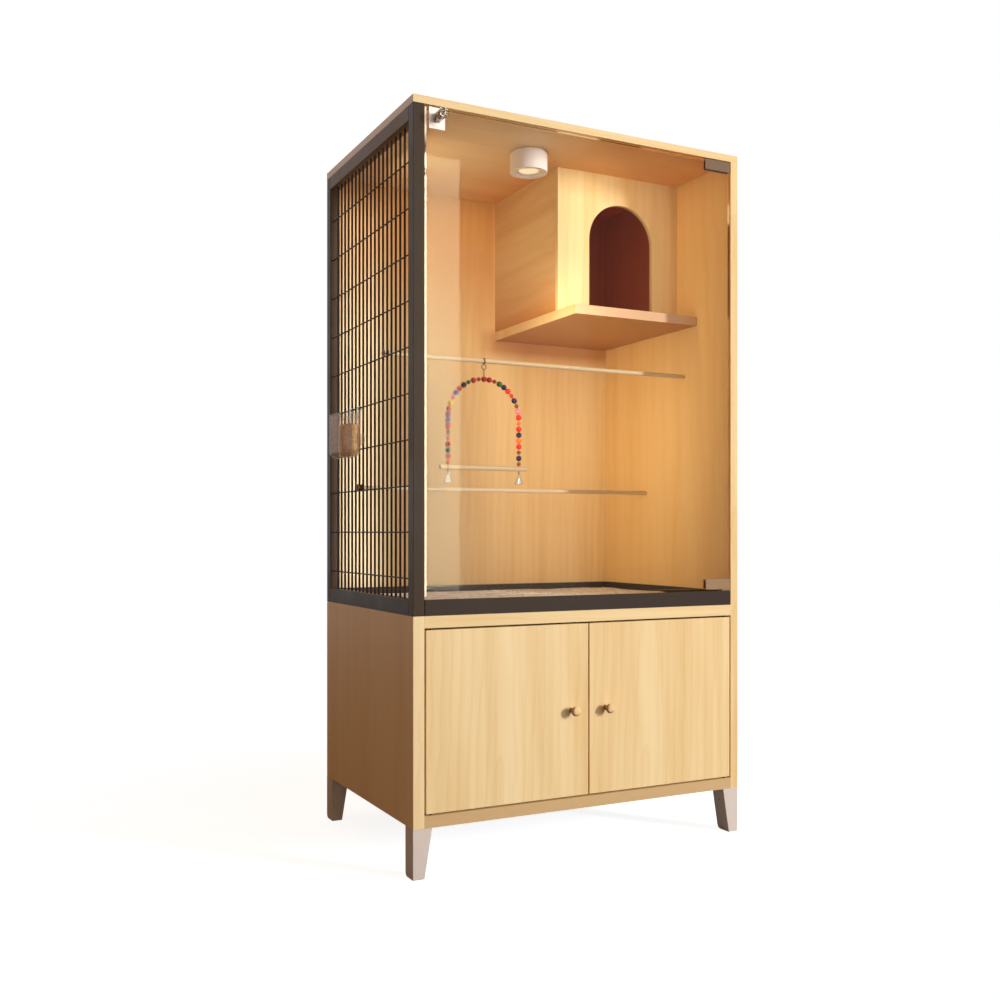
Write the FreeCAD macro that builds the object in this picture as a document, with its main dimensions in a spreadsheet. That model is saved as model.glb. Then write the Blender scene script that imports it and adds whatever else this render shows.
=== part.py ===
import FreeCAD, Part
import math
import os
import re

import Sketcher

# Bird cage cabinet: a wooden carcass with a glass door in front and a wire grille on its left
# side, standing on a two-door cupboard with four metal feet. Millimetres, +X to the right,
# +Y to the back, +Z up. The origin is the middle of the whole object's box, at the floor.

os.makedirs("parts", exist_ok=True)
doc = FreeCAD.newDocument("bird_cage")

SIZES = {
    # whole cage
    "cage_width": 830,
    "cage_depth": 560,
    "cage_height": 1600,
    # boards
    "top_board": 16,
    "right_board_thick": 20,
    "back_board": 12,
    "cabinet_board": 25,
    "post_side": 25,
    "opening_height": 384,
    "band_height": 33,
    # feet
    "foot_height": 103,
    "foot_top": 42,
    "foot_tip": 25,
    "foot_depth": 42,
    "foot_round": 10,
    "stud_radius": 4,
    "stud_in_foot": 30,
    "stud_in_board": 15,
    # grille
    "tube_wall": 2,
    "top_rail_height": 30,
    "wires_upright": 19,
    "wires_cross": 10,
    "upright_radius": 2.5,
    "cross_radius": 1.5,
    "cross_drop": 109,
    "cross_rise": 42.8,
    "weld_gap": 0.1,
    # cupboard doors
    "door_gap": 4,
    "door_thick": 18,
    "pivot_inset": 12,
    "pivot_back": 7,
    "pivot_radius": 2.5,
    "pivot_in_door": 14,
    "pivot_in_board": 10,
    "pin_play": 0.05,
    "pin_end": 0.5,
    # knobs
    "knob_from_edge": 44,
    "knob_neck_radius": 5.5,
    "knob_neck_length": 14,
    "knob_flare_length": 7,
    "knob_face_radius": 11,
    "knob_face_thick": 4,
    # magnetic catches
    "catch_width": 40,
    "catch_height": 12,
    "catch_depth": 14,
    "catch_gap": 0.5,
    "catch_from_edge": 20,
    "strike_thick": 1.5,
    # litter tray
    "tray_clear": 1,
    "tray_wall": 2,
    "tray_front": 12,
    "tray_floor": 3,
    "liner_clear": 0.5,
    "liner_thick": 18,
    # glass door
    "glass_gap": 2,
    "glass_thick": 6,
    "clamp_plate": 3,
    "clamp_web": 2,
    "clamp_width": 70,
    "clamp_height": 24,
    "axis_inset": 12,
    "glass_pin_radius": 3,
    "glass_pin_rise": 9,
    "bush_wall": 2,
    "bush_height": 10,
    "bracket_thick": 3,
    "bracket_reach": 26,
    "bracket_back": 50,
    "bracket_height": 24,
    "bracket_play": 0.5,
    "leaf_thick": 2,
    "leaf_start": 18,
    # glass door lock
    "lock_from_edge": 26,
    "lock_drop": 25,
    "lock_plate_width": 36,
    "lock_plate_height": 44,
    "barrel_radius": 10,
    "barrel_play": 0.3,
    "barrel_out": 35,
    "barrel_in": 22,
    "plug_radius": 6.5,
    "plug_out": 1,
    "nut_radius": 15,
    "key_slot_width": 2,
    "key_slot_height": 8,
    "key_slot_depth": 4,
    "cam_gap": 1,
    "cam_thick": 3,
    "cam_width": 10,
    "cam_reach": 22,
    "keeper_width": 20,
    "keeper_thick": 2.5,
    "keeper_drop": 12,
    "keeper_foot": 22,
    # nest box
    "nest_width": 348.5,
    "nest_height": 343,
    "nest_front": 213,
    "nest_board": 12,
    "nest_floor_thick": 22.5,
    "ledge_reach": 83,
    "arch_radius": 92,
    "arch_height": 273,
    # perches
    "perch_radius": 5,
    "upper_perch_depth": 183.5,
    "upper_perch_share": 0.81573,
    "lower_perch_depth": 351,
    "lower_perch_drop": 68,
    "perch_socket": 8,
    "washer_radius": 8,
    "washer_thick": 1.5,
    "bolt_radius": 2,
    "bolt_in_perch": 30,
    "bolt_head_radius": 3.8,
    "bolt_head_height": 3,
    "bolt_play": 0.1,
    # lamp
    "lamp_from_nest": 109.5,
    "lamp_depth": 157,
    "lamp_radius": 43,
    "lamp_height": 42,
    "lamp_base_radius": 36,
    "lamp_base_height": 6,
    "lamp_rim": 10,
    "lamp_recess": 5,
    "lens_radius": 23,
    "lens_thick": 4,
    # swing
    "swing_from_left": 250,
    "swing_arch_radius": 90,
    "swing_top_drop": 41,
    "swing_bar_drop": 244,
    "swing_bar_radius": 5.5,
    "swing_bar_length": 219,
    "swing_wire_radius": 1,
    "hook_wire_radius": 1.2,
    "hook_play": 0.3,
    "link_radius": 5.5,
    "eye_play": 0.3,
    "bead_radius": 6.5,
    "small_bead_radius": 4.8,
    "beads_per_side": 18,
    "bead_pitch": 13.5,
    "bead_bore_play": 0.5,
    "bead_slot_play": 0.4,
    # bells
    "loop_radius": 3,
    "loop_wire_radius": 0.8,
    "loop_play": 0.2,
    "loop_drop": 1,
    "bell_mouth": 10,
    "bell_crown": 5,
    "bell_skirt": 13,
    "bell_wall": 1,
    "clapper_ball": 2.4,
    "clapper_wire": 0.6,
    "clapper_length": 13,
    "clapper_play": 0.3,
    # feeder
    "feeder_reach": 43,
    "feeder_past_hook": 26.75,
    "feeder_width": 107,
    "feeder_hang": 13,
    "feeder_height": 103,
    "feeder_round": 18,
    "feeder_wall": 3,
    "feeder_play": 0.3,
    "ear_radius": 14,
    "ear_rise": 41,
    "hook_wire_row": 5,
    "hook_width": 8,
    "hook_thick": 1.2,
    "hook_lap": 14,
    "hook_lip": 10,
    "hook_first_gap_shares": 12.5,
    "hook_second_gap_shares": 14.5,
}

# Places and sizes that follow from the sizes above.
PLACES = {
    "left": "-(cage_width - feeder_reach) / 2",
    "right": "left + cage_width",
    "front": "-(cage_depth - barrel_out - plug_out) / 2",
    "back": "front + cage_depth",
    "side_left": "left + post_side",
    "inner_right": "right - right_board_thick",
    "inner_back": "back - back_board",
    "opening_low": "foot_height + cabinet_board",
    "opening_high": "opening_low + opening_height",
    "cabinet_top": "opening_high + cabinet_board",
    "rim": "cabinet_top + band_height",
    "ceiling": "cage_height - top_board",
    "post_front_back": "front + post_side",
    "post_back_front": "back - post_side",
    "middle": "(side_left + inner_right) / 2",
    # cupboard doors
    "door_low": "opening_low + door_gap",
    "door_high": "opening_high - door_gap",
    "door_back": "front + door_thick",
    "pivot_y": "front + pivot_back",
    "left_pivot": "side_left + door_gap + pivot_inset",
    "right_pivot": "inner_right - door_gap - pivot_inset",
    "knob_z": "(door_low + door_high) / 2",
    # glass door
    "glass_front": "front + clamp_plate",
    "glass_back": "glass_front + glass_thick",
    "clamp_back": "glass_back + clamp_plate",
    "glass_left": "side_left + glass_gap",
    "glass_right": "inner_right - glass_gap",
    "clamp_left": "glass_right - clamp_width",
    "bracket_low": "rim + tray_clear",
    "bracket_high": "bracket_low + bracket_thick",
    "clamp_low": "bracket_high + bracket_play",
    "glass_low": "clamp_low + clamp_web",
    "clamp_high": "ceiling - glass_gap",
    "glass_high": "clamp_high - clamp_web",
    "axis_x": "glass_right - axis_inset",
    "axis_y": "(glass_front + glass_back) / 2",
    # lock
    "lock_x": "glass_left + lock_from_edge",
    "lock_z": "ceiling - lock_drop",
    "barrel_end": "front + barrel_in",
    "cam_front": "barrel_end + cam_gap",
    "cam_back": "cam_front + cam_thick",
    # grille
    "wire_x": "left + post_side / 2",
    "cross_x": "wire_x - upright_radius - weld_gap - cross_radius",
    "cross_top": "ceiling - cross_drop",
    "cross_low": "rim + cross_rise",
    "cross_pitch": "(cross_top - cross_low) / (wires_cross - 1)",
    "upright_pitch": "(cage_depth - 2 * post_side) / (wires_upright + 1)",
    # nest box
    "nest_x": "inner_right - nest_width",
    "nest_floor_top": "ceiling - nest_height",
    "nest_floor_low": "nest_floor_top - nest_floor_thick",
    "nest_inner_x": "nest_x + nest_board",
    "nest_y": "front + nest_front",
    "nest_inner_y": "nest_y + nest_board",
    "arch_x": "(nest_inner_x + inner_right) / 2",
    # perches and swing
    "upper_y": "front + upper_perch_depth",
    "upper_z": "rim + upper_perch_share * (nest_floor_low - rim)",
    "lower_y": "front + lower_perch_depth",
    "lower_z": "feeder_low - lower_perch_drop",
    "perch_start": "wire_x + upright_radius + washer_thick",
    "swing_x": "left + swing_from_left",
    "arch_top_z": "upper_z - swing_top_drop",
    "arch_z": "arch_top_z - swing_arch_radius",
    "bar_z": "upper_z - swing_bar_drop",
    "hook_ring": "perch_radius + hook_play + hook_wire_radius",
    "eye_ring": "swing_wire_radius + eye_play + hook_wire_radius",
    "loop_z": "bar_z - swing_bar_radius - loop_drop - loop_radius",
    "bell_ring_z": "loop_z - 2 * loop_radius + 2 * loop_wire_radius + loop_play",
    "bell_top": "bell_ring_z - loop_radius",
    "bell_joint": "bell_top - bell_crown",
    "bell_low": "bell_joint - bell_skirt",
    # lamp
    "lamp_x": "nest_x - lamp_from_nest",
    "lamp_y": "front + lamp_depth",
    "lamp_top": "ceiling - lamp_base_height",
    "lamp_low": "lamp_top - lamp_height",
    # feeder
    "feeder_out": "left - feeder_reach",
    "feeder_back": "cross_x - cross_radius - feeder_play",
    "near_hook_y": "post_front_back + hook_first_gap_shares * upright_pitch",
    "far_hook_y": "post_front_back + hook_second_gap_shares * upright_pitch",
    "feeder_y": "near_hook_y - feeder_past_hook",
    "feeder_far": "feeder_y + feeder_width",
    "hook_wire_z": "cross_top - hook_wire_row * cross_pitch",
    "feeder_top": "hook_wire_z - feeder_hang",
    "feeder_low": "feeder_top - feeder_height",
}


def make_sheet():
    """Writes the driving sizes into a spreadsheet, one alias to a cell."""
    sizes = doc.addObject("Spreadsheet::Sheet", "Sizes")
    for row, (name, size) in enumerate(SIZES.items(), start=1):
        cell = f"A{row}"
        sizes.set(cell, str(size))
        sizes.setAlias(cell, name)
    doc.recompute()
    return sizes


sheet = make_sheet()
nodes = {}


def full(text):
    """Writes a size or place out in cells of the sheet."""

    def spelled(match):
        word = match.group()
        if word in PLACES:
            return "(" + full(PLACES[word]) + ")"
        return "Sizes." + word if word in SIZES else word

    return re.sub(r"[a-z][a-z_]*", spelled, str(text))


def value(text):
    """The number that a size or place comes to."""
    return float(sheet.evalExpression(full(text)))


def bind(thing, **sizes):
    """Binds an object's properties to sizes."""
    for name, text in sizes.items():
        thing.setExpression(name, full(text))


def place(thing, x="0", y="0", z="0"):
    """Binds an object's position and keeps its turn."""
    thing.setExpression("Placement.Base.x", full(x))
    thing.setExpression("Placement.Base.y", full(y))
    thing.setExpression("Placement.Base.z", full(z))


def node(name, thing):
    """Makes an object one named piece of the cage."""
    thing.Label = name
    nodes[name] = thing
    return thing


def block(name, x, y, z):
    """A box between two places along each axis."""
    piece = doc.addObject("Part::Box", name)
    bind(
        piece,
        Length=f"({x[1]}) - ({x[0]})",
        Width=f"({y[1]}) - ({y[0]})",
        Height=f"({z[1]}) - ({z[0]})",
    )
    place(piece, x[0], y[0], z[0])
    return piece


TURNS = {
    "x": FreeCAD.Rotation(FreeCAD.Vector(0, 1, 0), 90),
    "y": FreeCAD.Rotation(FreeCAD.Vector(1, 0, 0), -90),
    "z": FreeCAD.Rotation(),
}


def rod(name, radius, length, x, y, z, along="z"):
    """A cylinder that starts at a point and runs along an axis."""
    piece = doc.addObject("Part::Cylinder", name)
    bind(piece, Radius=radius, Height=length)
    piece.Placement = FreeCAD.Placement(FreeCAD.Vector(), TURNS[along])
    place(piece, x, y, z)
    return piece


def ring(name, radius, wire, x, y, z, along="z"):
    """A closed wire ring about an axis."""
    piece = doc.addObject("Part::Torus", name)
    bind(piece, Radius1=radius, Radius2=wire)
    piece.Placement = FreeCAD.Placement(FreeCAD.Vector(), TURNS[along])
    place(piece, x, y, z)
    return piece


def ball(name, radius, x, y, z):
    """A sphere about a point."""
    piece = doc.addObject("Part::Sphere", name)
    bind(piece, Radius=radius)
    place(piece, x, y, z)
    return piece


def taper(name, low, high, length, x, y, z, along="z"):
    """A cone that starts at a point and runs along an axis."""
    piece = doc.addObject("Part::Cone", name)
    bind(piece, Radius1=low, Radius2=high, Height=length)
    piece.Placement = FreeCAD.Placement(FreeCAD.Vector(), TURNS[along])
    place(piece, x, y, z)
    return piece


def join(name, pieces):
    """One solid made of several."""
    whole = doc.addObject("Part::MultiFuse", name)
    whole.Shapes = pieces
    return whole


def group(name, pieces):
    """Separate solids kept together."""
    whole = doc.addObject("Part::Compound", name)
    whole.Links = pieces
    return whole


def cut(name, base, tools):
    """A piece with tools taken away."""
    piece = doc.addObject("Part::Cut", name)
    piece.Base = base
    piece.Tool = tools[0] if len(tools) == 1 else group(name + "_tools", tools)
    return piece


def sketch_on(body, name, role):
    """An empty sketch on one of the body's own origin planes."""
    plane = next(item for item in body.Origin.OriginFeatures if item.Role == role)
    sketch = body.newObject("Sketcher::SketchObject", name)
    sketch.AttachmentSupport = [(plane, "")]
    sketch.MapMode = "FlatFace"
    return sketch


def pin_point(sketch, line, end, u, v):
    """Holds one end of a line or arc, or an arc's centre, at bound distances from the origin."""
    for kind, size in (("DistanceX", u), ("DistanceY", v)):
        row = sketch.addConstraint(Sketcher.Constraint(kind, -1, 1, line, end, value(size)))
        sketch.setExpression(f"Constraints[{row}]", full(size))


def outline(sketch, points):
    """A closed outline of straight sides, each corner pinned."""
    corners = [FreeCAD.Vector(value(u), value(v), 0) for u, v in points]
    for here, there in zip(corners, corners[1:] + corners[:1]):
        sketch.addGeometry(Part.LineSegment(here, there))
    for line in range(len(points)):
        following = (line + 1) % len(points)
        sketch.addConstraint(Sketcher.Constraint("Coincident", line, 2, following, 1))
    for line, (u, v) in enumerate(points):
        pin_point(sketch, line, 1, u, v)


def pad(body, sketch, length):
    """Material from a sketch to a bound height, along the sketch's normal."""
    feature = body.newObject("PartDesign::Pad", body.Name + "_pad")
    feature.Profile = sketch
    bind(feature, Length=length)
    return feature


def edges_where(shape, test):
    """Names of the edges whose middle passes a test."""
    names = []
    for number, edge in enumerate(shape.Edges, start=1):
        middle = edge.valueAt((edge.FirstParameter + edge.LastParameter) / 2)
        if test(middle):
            names.append(f"Edge{number}")
    return names


# Carcass boards


def make_carcass():
    """The wooden panels that carry everything else."""
    across = ("side_left", "inner_right")
    deep = ("front", "back")

    bush_seat = rod(
        "top_panel_seat", "glass_pin_radius + pin_play + bush_wall", "bush_height",
        "axis_x", "axis_y", "ceiling",
    )
    top = block("top_panel_board", ("left", "right"), deep, ("ceiling", "cage_height"))
    node("top_panel", cut("top_panel", top, [bush_seat]))

    side = block("right_side_board", ("inner_right", "right"), deep, ("foot_height", "ceiling"))
    sockets = [
        rod(name + "_socket", "perch_radius", "perch_socket", "inner_right", y, z, "x")
        for name, y, z in (
            ("upper", "upper_y", "upper_z"),
            ("lower", "lower_y", "lower_z"),
        )
    ]
    node("right_side_panel", cut("right_side_panel", side, sockets))

    node("back_panel", block("back_panel", across, ("inner_back", "back"), ("foot_height", "ceiling")))
    node(
        "cabinet_left_panel",
        block("cabinet_left_panel", ("left", "side_left"), deep, ("foot_height", "cabinet_top")),
    )

    shelf_deep = ("front", "inner_back")
    roof = block("cabinet_top_blank", across, shelf_deep, ("opening_high", "cabinet_top"))
    roof_bores = pivot_bores("roof_bore", "opening_high")
    node("cabinet_top_board", cut("cabinet_top_board", roof, roof_bores))

    floor = block("cabinet_bottom_blank", across, shelf_deep, ("foot_height", "opening_low"))
    floor_bores = pivot_bores("floor_bore", "opening_low - pivot_in_board")
    studs = [stud("board_bore", corner, "bolt_play") for corner in FEET]
    node("cabinet_bottom_board", cut("cabinet_bottom_board", floor, floor_bores + studs))


def pivot_bores(name, low):
    """The blind bores in which the cupboard doors' pins turn."""
    return [
        rod(f"{name}_{side}", "pivot_radius + pin_play", "pivot_in_board", f"{side}_pivot", "pivot_y", low)
        for side in ("left", "right")
    ]


# Feet: each foot's outer face is upright and its inner face slopes in towards the floor.

FEET = {
    "front_left": ("left", "front", 1),
    "front_right": ("right", "front", -1),
    "back_left": ("left", "back - foot_depth", 1),
    "back_right": ("right", "back - foot_depth", -1),
}


def stud(name, corner, play="0"):
    """A foot's stud, or with play the bore around it."""
    x, y, inward = FEET[corner]
    middle = f"{x} + ({inward}) * (post_side + foot_top) / 2"
    return rod(
        f"{name}_{corner}", f"stud_radius + {play}", "stud_in_foot + stud_in_board",
        middle, f"{y} + foot_depth / 2", "foot_height - stud_in_foot",
    )


def make_foot(corner):
    """One tapered metal foot, its rear lower edge rounded."""
    x, y, inward = FEET[corner]
    body = doc.addObject("PartDesign::Body", corner + "_foot_body")
    sketch = sketch_on(body, corner + "_foot_outline", "XZ_Plane")
    top = f"({inward}) * foot_top"
    tip = f"({inward}) * foot_tip"
    outline(sketch, [("0", "0"), (tip, "0"), (top, "foot_height"), ("0", "foot_height")])
    feature = pad(body, sketch, "foot_depth")
    feature.Reversed = True
    doc.recompute()
    deep = value("foot_depth")
    tiny = value("foot_round") / 10
    rear = edges_where(
        feature.Shape,
        lambda middle: abs(middle.z) < tiny and abs(middle.y - deep) < tiny,
    )
    rounding = body.newObject("PartDesign::Fillet", corner + "_foot_round")
    rounding.Base = (feature, rear)
    bind(rounding, Radius="foot_round")
    body.Tip = rounding
    place(body, x, y, "0")
    bored = cut(corner + "_foot", body, [stud("foot_bore", corner, "bolt_play")])
    node(corner + "_foot", bored)


# Grille on the left side


def tube(name, x, y, z, along):
    """A square steel tube, open along one axis."""
    inner = {}
    for axis, (low, high) in {"x": x, "y": y, "z": z}.items():
        closed = axis != along
        inner[axis] = (f"{low} + tube_wall", f"{high} - tube_wall") if closed else (low, high)
    outside = block(name + "_outside", x, y, z)
    inside = block(name + "_inside", inner["x"], inner["y"], inner["z"])
    return node(name, cut(name, outside, [inside]))


def make_grille():
    """A frame of square tube with upright wires and cross wires."""
    across = ("left", "side_left")
    tube("grille_front_post", across, ("front", "post_front_back"), ("cabinet_top", "ceiling"), "z")
    tube("grille_back_post", across, ("post_back_front", "back"), ("cabinet_top", "ceiling"), "z")
    between = ("post_front_back", "post_back_front")
    tube("grille_top_rail", across, between, ("ceiling - top_rail_height", "ceiling"), "y")
    tube("grille_bottom_rail", across, between, ("cabinet_top", "rim"), "y")
    uprights = [
        rod(
            f"upright_wire_{row}", "upright_radius", "ceiling - top_rail_height - (rim)",
            "wire_x", f"post_front_back + {row} * upright_pitch", "rim",
        )
        for row in range(1, SIZES["wires_upright"] + 1)
    ]
    node("grille_upright_wires", group("grille_upright_wires", uprights))
    crossings = [
        rod(
            f"cross_wire_{row}", "cross_radius", "cage_depth - 2 * post_side",
            "cross_x", "post_front_back", f"cross_top - {row} * cross_pitch", "y",
        )
        for row in range(SIZES["wires_cross"])
    ]
    node("grille_cross_wires", group("grille_cross_wires", crossings))


# Nest box in the upper right back corner


def make_nest():
    """Two upright panels on a floor board that runs forward as a ledge."""
    low = "nest_floor_top"
    body = doc.addObject("PartDesign::Body", "nest_front_body")
    sketch = sketch_on(body, "nest_front_outline", "XZ_Plane")
    outline(
        sketch,
        [
            ("0", "0"),
            ("nest_width", "0"),
            ("nest_width", "nest_height"),
            ("0", "nest_height"),
        ],
    )
    panel = pad(body, sketch, "nest_board")
    panel.Reversed = True
    doorway = sketch_on(body, "nest_doorway_outline", "XZ_Plane")
    arch_outline(doorway, "arch_x - nest_x", "arch_radius", "arch_height")
    opening = body.newObject("PartDesign::Pocket", "nest_doorway")
    opening.Profile = doorway
    opening.Type = "ThroughAll"
    opening.Midplane = True
    body.Tip = opening
    place(body, "nest_x", "nest_y", low)
    node("nest_front_panel", body)

    node(
        "nest_side_panel",
        block(
            "nest_side_panel", ("nest_x", "nest_inner_x"), ("nest_inner_y", "inner_back"), (low, "ceiling")
        ),
    )
    node(
        "nest_floor_board",
        block(
            "nest_floor_board", ("nest_x", "inner_right"), ("nest_y - ledge_reach", "inner_back"),
            ("nest_floor_low", low),
        ),
    )


def arch_outline(sketch, middle, radius, height):
    """A doorway outline: a flat sill, two upright sides and a half round top."""
    low_left = FreeCAD.Vector(value(f"{middle} - {radius}"), 0, 0)
    low_right = FreeCAD.Vector(value(f"{middle} + {radius}"), 0, 0)
    spring = value(f"{height} - {radius}")
    high_left = FreeCAD.Vector(low_left.x, spring, 0)
    high_right = FreeCAD.Vector(low_right.x, spring, 0)
    centre = FreeCAD.Vector(value(middle), spring, 0)
    round_top = Part.Circle(centre, FreeCAD.Vector(0, 0, 1), value(radius))
    sill = sketch.addGeometry(Part.LineSegment(low_left, low_right))
    right_side = sketch.addGeometry(Part.LineSegment(low_right, high_right))
    top = sketch.addGeometry(Part.ArcOfCircle(round_top, 0, math.pi))
    left_side = sketch.addGeometry(Part.LineSegment(high_left, low_left))
    sketch.addConstraint(Sketcher.Constraint("Coincident", sill, 2, right_side, 1))
    sketch.addConstraint(Sketcher.Constraint("Coincident", right_side, 2, top, 1))
    sketch.addConstraint(Sketcher.Constraint("Coincident", top, 2, left_side, 1))
    sketch.addConstraint(Sketcher.Constraint("Coincident", left_side, 2, sill, 1))
    pin_point(sketch, sill, 1, f"{middle} - {radius}", "0")
    pin_point(sketch, sill, 2, f"{middle} + {radius}", "0")
    pin_point(sketch, right_side, 2, f"{middle} + {radius}", f"{height} - {radius}")
    pin_point(sketch, left_side, 1, f"{middle} - {radius}", f"{height} - {radius}")
    level = Sketcher.Constraint("DistanceY", -1, 1, top, 3, spring)
    row = sketch.addConstraint(level)
    sketch.setExpression(f"Constraints[{row}]", full(f"{height} - {radius}"))


# Perches


def make_perches():
    """Two round rods from the grille to the right side panel, bolted through the wires."""
    places = {
        "upper": ("upper_y", "upper_z"),
        "lower": ("lower_y", "lower_z"),
    }
    bolts = []
    washers = []
    for name, (y, z) in places.items():
        dowel = rod(
            name + "_dowel", "perch_radius", "inner_right + perch_socket - (perch_start)",
            "perch_start", y, z, "x",
        )
        bore = rod(name + "_bolt_bore", "bolt_radius + bolt_play", "bolt_in_perch", "perch_start", y, z, "x")
        node(name + "_perch", cut(name + "_perch", dowel, [bore]))
        outer = "cross_x - cross_radius - washer_thick"
        head = rod(
            name + "_bolt_head", "bolt_head_radius", "bolt_head_height",
            f"{outer} - bolt_head_height", y, z, "x",
        )
        shank = rod(
            name + "_bolt_shank", "bolt_radius", f"perch_start + bolt_in_perch - ({outer})", outer, y, z, "x",
        )
        bolts.append(join(name + "_perch_bolt", [head, shank]))
        for side, start in (("outer", outer), ("inner", "perch_start - washer_thick")):
            disc = rod(f"{name}_{side}_disc", "washer_radius", "washer_thick", start, y, z, "x")
            hole = rod(f"{name}_{side}_hole", "bolt_radius + bolt_play", "washer_thick", start, y, z, "x")
            washers.append(cut(f"{name}_{side}_washer", disc, [hole]))
    node("perch_bolts", group("perch_bolts", bolts))
    node("perch_washers", group("perch_washers", washers))


# Ceiling lamp


def make_lamp():
    """A short round housing with a recessed face and a lens, on a smaller base."""
    node(
        "lamp_base",
        rod("lamp_base", "lamp_base_radius", "lamp_base_height", "lamp_x", "lamp_y", "lamp_top"),
    )
    solid = rod("lamp_solid", "lamp_radius", "lamp_height", "lamp_x", "lamp_y", "lamp_low")
    recess = rod(
        "lamp_recess_tool", "lamp_radius - lamp_rim", "lamp_recess", "lamp_x", "lamp_y", "lamp_low",
    )
    seat = rod(
        "lamp_lens_seat", "lens_radius", "lens_thick", "lamp_x", "lamp_y", "lamp_low + lamp_recess",
    )
    node("lamp_housing", cut("lamp_housing", solid, [join("lamp_hollow", [recess, seat])]))
    node(
        "lamp_lens",
        rod("lamp_lens", "lens_radius", "lens_thick", "lamp_x", "lamp_y", "lamp_low + lamp_recess"),
    )


# Cupboard doors


def make_door(side):
    """One inset wooden door that turns on a pin at each end of its outer edge."""
    edges = {
        "left": ("side_left + door_gap", "middle - door_gap / 2"),
        "right": ("middle + door_gap / 2", "inner_right - door_gap"),
    }[side]
    pivot = f"{side}_pivot"
    name = f"{side}_door"
    ends = {
        "top": ("door_high - pivot_in_door", "door_high - pivot_in_door"),
        "bottom": ("door_low", "opening_low - pivot_in_board + pin_end"),
    }
    pin_length = "pivot_in_door + door_gap + pivot_in_board - pin_end"
    bores = []
    pins = []
    for end, (bore_low, pin_low) in ends.items():
        bores.append(
            rod(f"{name}_{end}_bore", "pivot_radius", "pivot_in_door", pivot, "pivot_y", bore_low)
        )
        pins.append(rod(f"{name}_{end}_pin", "pivot_radius", pin_length, pivot, "pivot_y", pin_low))
    blank = block(name + "_blank", edges, ("front", "door_back"), ("door_low", "door_high"))
    node(name, cut(name, blank, bores))
    node(name + "_pins", group(name + "_pins", pins))

    inward = {"left": -1, "right": 1}[side]
    make_knob(side, f"middle + ({inward}) * knob_from_edge")

    near = f"middle + ({inward}) * catch_from_edge"
    far = f"middle + ({inward}) * (catch_from_edge + catch_width)"
    wide = (far, near) if inward < 0 else (near, far)
    tall = ("opening_high - catch_height", "door_high")
    node(
        name + "_strike",
        block(name + "_strike", wide, ("door_back", "door_back + strike_thick"), tall),
    )
    catch_front = "door_back + strike_thick + catch_gap"
    return block(
        side + "_catch", wide, (catch_front, f"{catch_front} + catch_depth"),
        ("opening_high - catch_height", "opening_high"),
    )


def make_knob(side, x):
    """A turned knob: a neck that flares out to a round face."""
    name = side + "_door_knob"
    flare_start = "front - knob_neck_length"
    face_start = f"{flare_start} - knob_flare_length"
    neck = rod(name + "_neck", "knob_neck_radius", "knob_neck_length", x, flare_start, "knob_z", "y")
    flare = taper(
        name + "_flare", "knob_face_radius", "knob_neck_radius", "knob_flare_length",
        x, face_start, "knob_z", "y",
    )
    face = rod(
        name + "_face", "knob_face_radius", "knob_face_thick",
        x, f"{face_start} - knob_face_thick", "knob_z", "y",
    )
    node(name, join(name, [neck, flare, face]))


# Litter tray


def make_tray():
    """A metal tray behind the front band, with a pad in it."""
    wide = ("side_left + tray_clear", "inner_right - tray_clear")
    deep = ("front", "inner_back - tray_clear")
    inside_x = ("side_left + tray_clear + tray_wall", "inner_right - tray_clear - tray_wall")
    inside_y = ("front + tray_front", "inner_back - tray_clear - tray_wall")
    outside = block("litter_tray_outside", wide, deep, ("cabinet_top", "rim"))
    inside = block("litter_tray_inside", inside_x, inside_y, ("cabinet_top + tray_floor", "rim"))
    node("litter_tray", cut("litter_tray", outside, [inside]))
    node(
        "tray_liner",
        block(
            "tray_liner",
            (f"{inside_x[0]} + liner_clear", f"{inside_x[1]} - liner_clear"),
            (f"{inside_y[0]} + liner_clear", f"{inside_y[1]} - liner_clear"),
            ("cabinet_top + tray_floor", "cabinet_top + tray_floor + liner_thick"),
        ),
    )


# Glass door


def make_clamp(name, low, high, web):
    """A metal channel that grips one corner of the glass."""
    wide = ("clamp_left", "glass_right")
    front_plate = block(name + "_front", wide, ("front", "glass_front"), (low, high))
    back_plate = block(name + "_back", wide, ("glass_back", "clamp_back"), (low, high))
    web_plate = block(name + "_web", wide, ("glass_front", "glass_back"), web)
    node(name, join(name, [front_plate, back_plate, web_plate]))


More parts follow.
